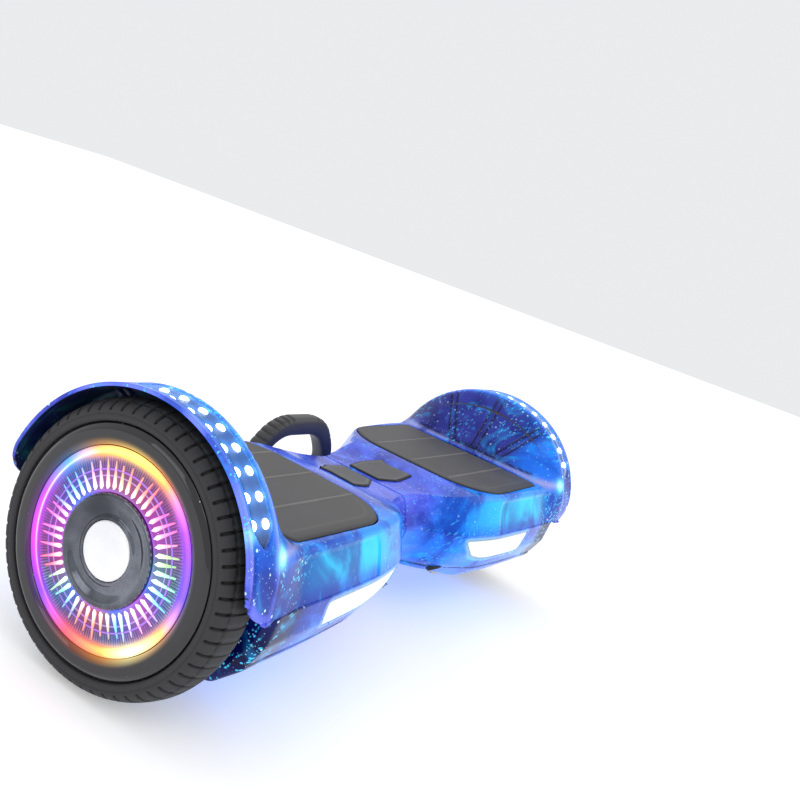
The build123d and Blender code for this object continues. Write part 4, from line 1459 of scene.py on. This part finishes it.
@dataclass
class Wheel:
    """Tyre, covers and lit ring of one wheel, in millimetres."""

    axle: float = 85.0
    tyre: float = 85.0
    inner: float = 258.0
    outer: float = 291.0
    face: float = 287.0
    end: float = 292.0
    cover: tuple[float, float] = (58.0, 71.0)
    ring: tuple[float, float] = (32.15, 57.85)
    slots: int = 60
    fins: int = 48

    def tread(self) -> Sheet:
        """Tyre with a shoulder slot and a sipe at each pitch.

        Returns:
            The tyre's surface.
        """
        radius = self.tyre
        corners = [(self.inner, 69.2), (self.inner, 79.0), (self.inner + 5, radius - 1.2),
                   (self.inner + 13, radius),
                   (self.outer - 18, radius), (self.outer - 9, radius - 1.5),
                   (self.outer - 3, radius - 4.6), (self.outer, 76.8), (self.outer, 71.2),
                   (self.outer - 5.9, 71.2)]
        profile = along(round_corners(corners, 5.0, 8), 1.0)
        stops = np.array((0.0, 0.10, 0.20, 0.28, 0.34, 0.38, 0.42, 0.46, 0.50, 0.54, 0.58, 0.62, 0.66, 0.72,
                          0.80, 0.90))
        shares = (np.arange(self.slots)[:, None] + stops).ravel() / self.slots
        sheet = lathe(profile, shares, self.axle)
        phase = (shares * self.slots % 1.0)[:, None] * np.ones(len(profile))
        x, r = profile[:, 0][None, :], profile[:, 1][None, :]
        slot = ease(abs(phase - 0.5), 0.13, 0.07)
        sipe = ease(abs(phase - 0.5), 0.07, 0.03)
        outer_zone = ease(x, self.outer - 9.5, self.outer - 8) * ease(r, 77.2, 78.4)
        inner_zone = ease(x, self.inner + 9.5, self.inner + 8) * ease(r, 77.2, 78.4)
        middle = ease(abs(x - (self.inner + self.outer) / 2 - 1), 9.0, 8.0)
        cut = 1.5 * slot * np.maximum(outer_zone, inner_zone) + 0.75 * sipe * middle
        cut += (0.7 * bell(x, self.inner + 8.0, 0.5) * (r > 80)
                + 0.7 * bell(x, self.outer - 8.0, 0.5) * (r > 80))
        cut += 0.4 * bell(r, 75.6, 0.6) * (x > self.outer - 0.8)
        tone = np.tile(hue("29292b"), (len(shares) * len(profile), 1))
        # painted shade: the tread is cut in the mesh, and its slots, sipes and grooves are coloured darker
        tone = blend(tone, "070708", np.clip(cut / 0.9, 0, 1).ravel())
        tone = blend(tone, "3a3a3e",
                     (ease(phase, 0.66, 0.72) * ease(phase, 0.98, 0.80) * middle * 0.6).ravel())
        sheet.push(cut.ravel())
        sheet.tones = {"tint": tone}
        return sheet

    def angle_colour(self, turn: np.ndarray, stops: Sequence[tuple[float, str]]) -> np.ndarray:
        """Colour round the wheel from (turn share, screen colour) stops."""
        places = [s for s, _ in stops]
        table = np.array([hue(code) for _, code in stops])
        return np.stack([np.interp(turn % 1.0, places, table[:, k]) for k in range(3)], axis=1)

    GLOW = ((0.0, "7a4cff"), (0.10, "b050ff"), (0.18, "ff9a3a"), (0.25, "ffd24a"), (0.33, "ffb040"),
            (0.40, "5aa8ff"),
            (0.47, "c050ff"), (0.55, "e040ff"), (0.64, "9a3cff"), (0.72, "ff5a4a"), (0.80, "ffa02a"),
            (0.86, "fff0a0"),
            (0.93, "ffae4a"), (1.0, "7a4cff"))
    SPIKES = ((0.0, "c8fff0"), (0.04, "9aff7a"), (0.09, "ff9ad8"), (0.15, "ff48c8"), (0.20, "ff8a5a"),
              (0.26, "ffc23a"),
              (0.33, "ffb8c8"), (0.38, "9ad0ff"), (0.43, "38c8ff"), (0.48, "ff5ae8"), (0.55, "ff3ad0"),
              (0.60, "ff4a8a"),
              (0.65, "a8ffc8"), (0.69, "50d8ff"), (0.74, "ff9a2a"), (0.79, "ffb83a"), (0.84, "6ad8ff"),
              (0.89, "ffd8f0"),
              (0.94, "ff9ae0"), (0.97, "6ae0ff"), (1.0, "c8fff0"))

    def light_ring(self) -> Sheet:
        """Lit ring with its bands, dashes and glow painted as light.

        Returns:
            The ring's surface.
        """
        low, high = self.ring
        radii = np.linspace(low, high, 78)
        rise = (0.9 * bell(radii, 33.2, 1.0) + 0.5 * bell(radii, 44.6, 0.5)
                + 0.7 * bell(radii, 52.6, 0.6) + 0.9 * ease(radii, 55.5, 57.6))
        profile = [(self.face + 1.7 + h, r) for h, r in zip(rise, radii)]
        sheet = lathe(profile, 864, self.axle)
        _, y, z = sheet.flat.T
        radius = np.hypot(y, z - self.axle)
        turn = np.arctan2(z - self.axle, -y) / (2 * math.pi) % 1.0
        glow = self.angle_colour(turn, self.GLOW)
        power = (0.45 + 0.75 * bell((turn - 0.25 + 0.5) % 1 - 0.5, 0, 0.11)
                 + 0.9 * bell((turn - 0.86 + 0.5) % 1 - 0.5, 0, 0.09))
        light = np.tile((0.012, 0.008, 0.07), (len(turn), 1))
        wash = (self.angle_colour(turn, self.SPIKES) ** 1.7 * np.array((0.9, 0.5, 1.1))
                + np.array((0.05, 0.02, 0.30)))
        light += wash * (0.30 * ease(radius, 50, 36) + 0.05)[:, None]
        light += glow ** 1.2 * (2.3 * power * bell(radius, 55.2, 2.7))[:, None]
        light += glow * (0.38 * ease(radius, 47, 55))[:, None]
        white = bell((turn - 0.48 + 0.5) % 1 - 0.5, 0, 0.13) * bell(radius, 54.6, 0.45)
        light += np.outer(white, (1.0, 0.85, 1.0))
        dash = ((turn * 192) % 1 < 0.48) * ease(radius, 45.6, 46.2) * ease(radius, 52.2, 51.6)
        dash *= 0.35 + 0.65 * ((radius * 0.9 + turn * 96) % 1 < 0.6)
        light += (self.angle_colour(turn + 0.03, self.SPIKES) ** 1.6 * (0.28 * dash)[:, None]
                  + np.outer(dash * 0.14, (0.10, 0.12, 1.0)))
        light += np.outer(bell(radius, 44.8, 0.45), (0.42, 0.18, 0.9))
        light += np.outer(bell(radius, 41.2, 0.3) * 0.7, (0.7, 0.5, 1.0))
        light += np.outer(bell(radius, 33.0, 0.8) * 0.4, (0.15, 0.2, 1.0))
        sheet.tones = {"light": light, "tint": np.tile((0.02, 0.015, 0.05), (len(turn), 1))}
        return sheet

    def fins_piece(self, side: Side, palette: Palette) -> bpy.types.Object:
        """Bright radial fins of the lit ring.

        Args:
            side: The half that it belongs to.
            palette: The finishes.

        Returns:
            The fins.
        """
        rng = np.random.default_rng(7)
        points, faces, light = [], [], []
        stations = np.linspace(0, 1, 11)
        for index in range(self.fins):
            turn = index / self.fins
            length = 15.0 + rng.uniform(-1.5, 2.5)
            colour = self.angle_colour(np.array([turn + rng.uniform(-0.015, 0.015)]), self.SPIKES)[0]
            lean = rng.uniform(-0.006, 0.006)
            first = len(points)
            for t in stations:
                radius = 34.0 + t * length
                nose = math.sqrt(max(0.0, 1 - (1 - min(t / 0.12, 1)) ** 2))
                width = 1.3 * nose * (1 - 0.80 * max(0.0, t - 0.12)) + 0.12
                height = 1.1 * (1 - t) + 0.25
                heat = 1 - 0.45 * t
                for across, up in ((-1, 0), (-0.6, 0.75), (0, 1), (0.6, 0.75), (1, 0)):
                    angle = 2 * math.pi * (turn + lean * t) + across * width / radius
                    points.append((self.face + 1.6 + up * height, -math.cos(angle) * radius,
                                   self.axle + math.sin(angle) * radius))
                    white = (0.9 if abs(across) < 1 else 0.4) * (1 - t) ** 3
                    light.append(tuple((c ** 2.0 + (1 - c ** 2.0) * white) * heat * 2.0 for c in colour))
            for row in range(len(stations) - 1):
                for k in range(4):
                    a = first + row * 5 + k
                    faces.append((a, a + 5, a + 6, a + 1))
                faces.append((first + row * 5 + 4, first + row * 5 + 9, first + row * 5 + 5, first + row * 5))
            faces += [tuple(first + k for k in range(5)), tuple(len(points) - 1 - k for k in range(5))]
        array = np.array(points) * MM
        if side is Side.LEFT:
            array = array * (-1, 1, 1)
            faces = [face[::-1] for face in faces]
        made = solid(f"{side.word}_ring_fins", array, faces, [palette["ring_light"]])
        store(made, "light", np.array(light))
        store(made, "tint", np.tile((0.3, 0.3, 0.35), (len(array), 1)))
        return made

    def build(self, side: Side, palette: Palette) -> None:
        """Make the wheel's visible pieces.

        Args:
            side: The half that it belongs to.
            palette: The finishes.
        """
        word, body = side.word, f"{side.word}_wheel"
        tyre = self.tread().piece(f"{word}_tread", None, side, [palette["tyre"]])
        fit(tyre, body, "tyre", f"{word}_tyre")
        low, high = self.cover
        shape = [(self.face + 0.2, low + 0.3), (self.end - 1.9, low + 0.3), (self.end, low + 3.2),
                 (self.end - 0.1, high - 3.6),
                 (self.face + 2.6, high), (self.face + 0.2, high)]
        cover = lathe(along(round_corners(shape, 1.3, 6), 0.8), 288, self.axle)
        _, y, z = cover.flat.T
        radius, turn = np.hypot(y, z - self.axle), np.arctan2(z - self.axle, -y) / (2 * math.pi) % 1.0
        # painted light: the lit ring's glow painted on the gloss black cover near its inner edge, strongest
        # where the ring is brightest
        power = (0.25 + bell((turn - 0.25 + 0.5) % 1 - 0.5, 0, 0.10)
                 + bell((turn - 0.86 + 0.5) % 1 - 0.5, 0, 0.10))
        light = self.angle_colour(turn, self.GLOW) * (power * 0.55 * ease(radius, 63.0, 58.2))[:, None]
        cover.tones = {"light": light, "tint": np.tile((0.006, 0.006, 0.007), (len(y), 1))}
        fit(cover.piece(f"{word}_gloss_cover", None, side, [palette["gloss_black"]]), body, "gloss_black",
            f"{word}_hub_cover")
        ring = self.light_ring().piece(f"{word}_lit_ring", None, side, [palette["ring_light"]])
        fit(ring, body, "ring_glass", f"{word}_light_ring")
        fit(self.fins_piece(side, palette), body, "ring_glass", f"{word}_light_ring")
        dish = [(self.face + 0.2, 32.0), (self.end - 0.9, 32.0), (self.end, 30.6), (self.end, 28.6),
                (self.end - 2.4, 24.0),
                (self.end - 2.8, 20.4), (self.end - 1.2, 18.4), (self.end - 1.6, 17.2),
                (self.end - 3.2, 17.0)]
        cap = lathe(along(round_corners(dish, 1.6, 6), 0.5), 192, self.axle)
        fit(cap.piece(f"{word}_bright_cap", None, side, [palette["bright_cap"]]), body, "bright_cap",
            f"{word}_hub_cap")
        disc = [(self.end - 3.2, 16.9), (self.end - 1.5, 16.9), (self.end - 1.1, 15.0),
                (self.end - 0.9, 10.0), (self.end - 0.8, 0.05)]
        centre = lathe(along(round_corners(disc, 1.0, 5), 0.6), 128, self.axle)
        fit(centre.piece(f"{word}_cap_centre", None, side, [palette["cap_disc"]]), body, "bright_cap",
            f"{word}_hub_cap")


@dataclass
class Handle:
    """Carry handle: a rounded band bent into a loop, with its bolted foot, in millimetres."""

    front: float = 62.5
    depth: float = 14.0
    band: float = 16.0
    span: float = 66.0
    low: float = 86.0
    high: float = 131.5
    foot: tuple[float, float, float, float] = (-64.0, -14.0, 67.0, 97.0)

    def build(self, palette: Palette) -> None:
        """Make the handle.

        Args:
            palette: The finishes.
        """
        half = self.band / 2
        reach = self.span - half
        line = [(-reach, self.low), (-reach, self.low + 12), (-reach + 25, self.high - half),
                (reach - 25, self.high - half),
                (reach, self.low + 12), (reach, self.low)]
        path = along(round_corners(line, 20, 16), 0.55)
        way = np.gradient(path, axis=0)
        way /= np.linalg.norm(way, axis=1, keepdims=True)
        out = np.stack([-way[:, 1], way[:, 0]], axis=1)
        turn = np.linspace(0, 2 * math.pi, 40, endpoint=False)
        run = np.concatenate([[0], np.cumsum(np.linalg.norm(np.diff(path, axis=0), axis=1))])
        middle = run[-1] / 2
        grip = sum(bell(run - middle, at, 1.1) for at in np.arange(-58, 59, 6.5) if abs(at) > 14)
        grid = np.empty((len(turn), len(path), 3))
        for k, angle in enumerate(turn):
            c, s = math.cos(angle), math.sin(angle)
            across = np.sign(c) * abs(c) ** 0.6 * self.depth / 2
            up = np.sign(s) * abs(s) ** 0.6 * half - grip * 1.3 * max(0.0, s)
            grid[k, :, 0] = path[:, 0] + out[:, 0] * up
            grid[k, :, 1] = self.front + self.depth / 2 + across
            grid[k, :, 2] = path[:, 1] + out[:, 1] * up
        sheet = Sheet(grid, wrap=True)
        shade = (np.outer(np.maximum(np.sin(turn), 0), grip)).ravel()
        tone = blend(np.tile(hue("343436"), (grid.shape[0] * grid.shape[1], 1)), "0b0b0c",
                     np.clip(shade, 0, 1))
        sheet.tones = {"tint": tone}
        faces = [tuple(face) for face in sheet.quads()[:, ::-1]]
        columns = grid.shape[1]
        faces.append(tuple(k * columns for k in range(len(turn)))[::-1])
        faces.append(tuple(k * columns + columns - 1 for k in range(len(turn))))
        loop = solid("carry_loop", sheet.flat * MM, faces, [palette["handle_rubber"]])
        store(loop, "tint", tone)
        fit(loop, "left_half", "black_plastic", "carry_handle")
        x0, x1, z0, z1 = self.foot
        corners = round_corners([(x0, z0), (x1, z0), (x1, z1), (x0, z1)], 5, 6, True)
        count = len(corners)
        points = [(x, y, z) for y in (self.front, self.front + 5.2) for x, z in corners]
        faces = [tuple(range(count))[::-1], tuple(range(count, 2 * count))]
        faces += [(k, (k + 1) % count, count + (k + 1) % count, count + k) for k in range(count)]
        plate = ease_edges(solid("carry_foot", np.array(points) * MM, faces, [palette["black_plastic"]]), 1.2)
        fit(plate, "left_half", "black_plastic", "carry_handle")


class CadParts:
    """The frame's own nodes that show with their own shape."""

    FINISH = {
        "chassis": "cast_frame", "axle": "steel", "stator": "motor_core", "axle_clamp": "cast_frame",
        "sensor_board": "circuit_board", "clamp_screws": "steel", "shell_screws": "steel",
        "headlight_board": "light_board",
        "motor_rim": "cast_rim", "motor_cover": "cast_rim", "magnet_ring": "magnets",
        "wheel_bearings": "steel",
        "pad_plungers": "black_plastic", "pivot_shaft": "steel", "pivot_bushes": "bush_plastic",
        "pivot_circlip": "steel",
        "handle_screws": "steel", "battery_pack": "battery_wrap", "main_board": "circuit_board",
        "power_button": "black_plastic", "power_switch": "black_plastic", "charge_socket": "black_plastic",
    }

    def build(self, palette: Palette) -> None:
        """Dress every node that isn't replaced.

        Args:
            palette: The finishes.
        """
        for name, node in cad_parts.items():
            plain = name.removeprefix("left_").removeprefix("right_")
            finish = self.FINISH.get(name) or self.FINISH.get(plain) or "black_plastic"
            for place in node.material_slots:
                place.link = "OBJECT"
                place.material = palette[finish]
            LOG.info("%s wears %s", name, finish)


@dataclass
class Studio:
    """Floor, soft lights and camera."""

    place: tuple[float, float, float] = (-0.7141, -0.3142, 0.3059)
    azimuth: float = 59.51
    elevation: float = 8.95
    roll: float = 19.3
    lens: float = 45.32
    shift: tuple[float, float] = (0.145, -0.063)

    def build(self) -> None:
        """Set up the studio."""
        self._floor()
        self._light("key", (-1.1, -1.3, 1.9), (0, 0, 0.1), 1.3, 7)
        self._light("fill", (1.7, -1.2, 1.1), (0, 0, 0.1), 1.2, 3)
        self._light("back", (0.6, 1.6, 1.4), (0, 0, 0.1), 1.4, 4)
        self._light("side", (-1.9, 0.5, 0.9), (-0.25, 0, 0.1), 0.9, 3)
        world = bpy.data.worlds.new("studio")
        world.use_nodes = True
        soft = next(n for n in world.node_tree.nodes if n.type == "BACKGROUND")
        soft.inputs["Color"].default_value = (0.97, 0.98, 1.0, 1)
        soft.inputs["Strength"].default_value = 0.85
        bpy.context.scene.world = world
        bpy.context.scene.view_settings.view_transform = "Standard"
        self._camera()

    def _floor(self) -> None:
        """Plain pale floor with a faint grain."""
        corners = np.array([(x, y, 0.0) for x, y in ((-6, -6), (6, -6), (6, 6), (-6, 6))])
        g = Graph("floor_paper")
        grain = g.noise(60, 3)
        material = g.set(Base_Color=g.mix(grain, (0.90, 0.90, 0.90), (0.94, 0.94, 0.94)), Roughness=0.8,
                         Emission_Color=(1.0, 1.0, 1.0), Emission_Strength=0.30)
        solid("floor", corners, [(0, 1, 2, 3)], [material])

    @staticmethod
    def _light(name: str, place: tuple, aim: tuple, size: float, power: float) -> None:
        """Square soft light aimed at a point.

        Args:
            name: Its name.
            place: Where it stands, in metres.
            aim: The point that it faces.
            size: Its side, in metres.
            power: Its power in watts.
        """
        lamp = bpy.data.lights.new(name, "AREA")
        lamp.size = size
        lamp.energy = power
        made = bpy.data.objects.new(name, lamp)
        made.location = place
        made.rotation_euler = (Vector(aim) - Vector(place)).to_track_quat("-Z", "Y").to_euler()
        bpy.context.collection.objects.link(made)

    def _camera(self) -> None:
        """Camera from the front left, low, with the board running away to the right."""
        a, e, r = (math.radians(v) for v in (self.azimuth, self.elevation, self.roll))
        ahead = Vector((math.sin(a) * math.cos(e), math.cos(a) * math.cos(e), -math.sin(e)))
        level = ahead.cross(Vector((0, 0, 1))).normalized()
        rise = level.cross(ahead)
        right = level * math.cos(r) + rise * math.sin(r)
        up = rise * math.cos(r) - level * math.sin(r)
        data = bpy.data.cameras.new("camera")
        data.lens = self.lens
        data.sensor_width = 36
        data.shift_x, data.shift_y = self.shift
        data.clip_start, data.clip_end = 0.01, 50
        made = bpy.data.objects.new("camera", data)
        turn = Matrix((right, up, -ahead)).transposed().to_4x4()
        made.matrix_world = Matrix.Translation(self.place) @ turn
        bpy.context.collection.objects.link(made)
        bpy.context.scene.camera = made


def main() -> None:
    """Build every sub-assembly in order."""
    logging.basicConfig(level=logging.INFO, format="%(message)s")
    Studio().build()
    palette = Palette()
    CadParts().build(palette)
    for side in Side:
        Shells().build(side, palette)
        FootPad().build(side, palette)
        Wheel().build(side, palette)
    Handle().build(palette)


if __name__ == "__main__":
    main()
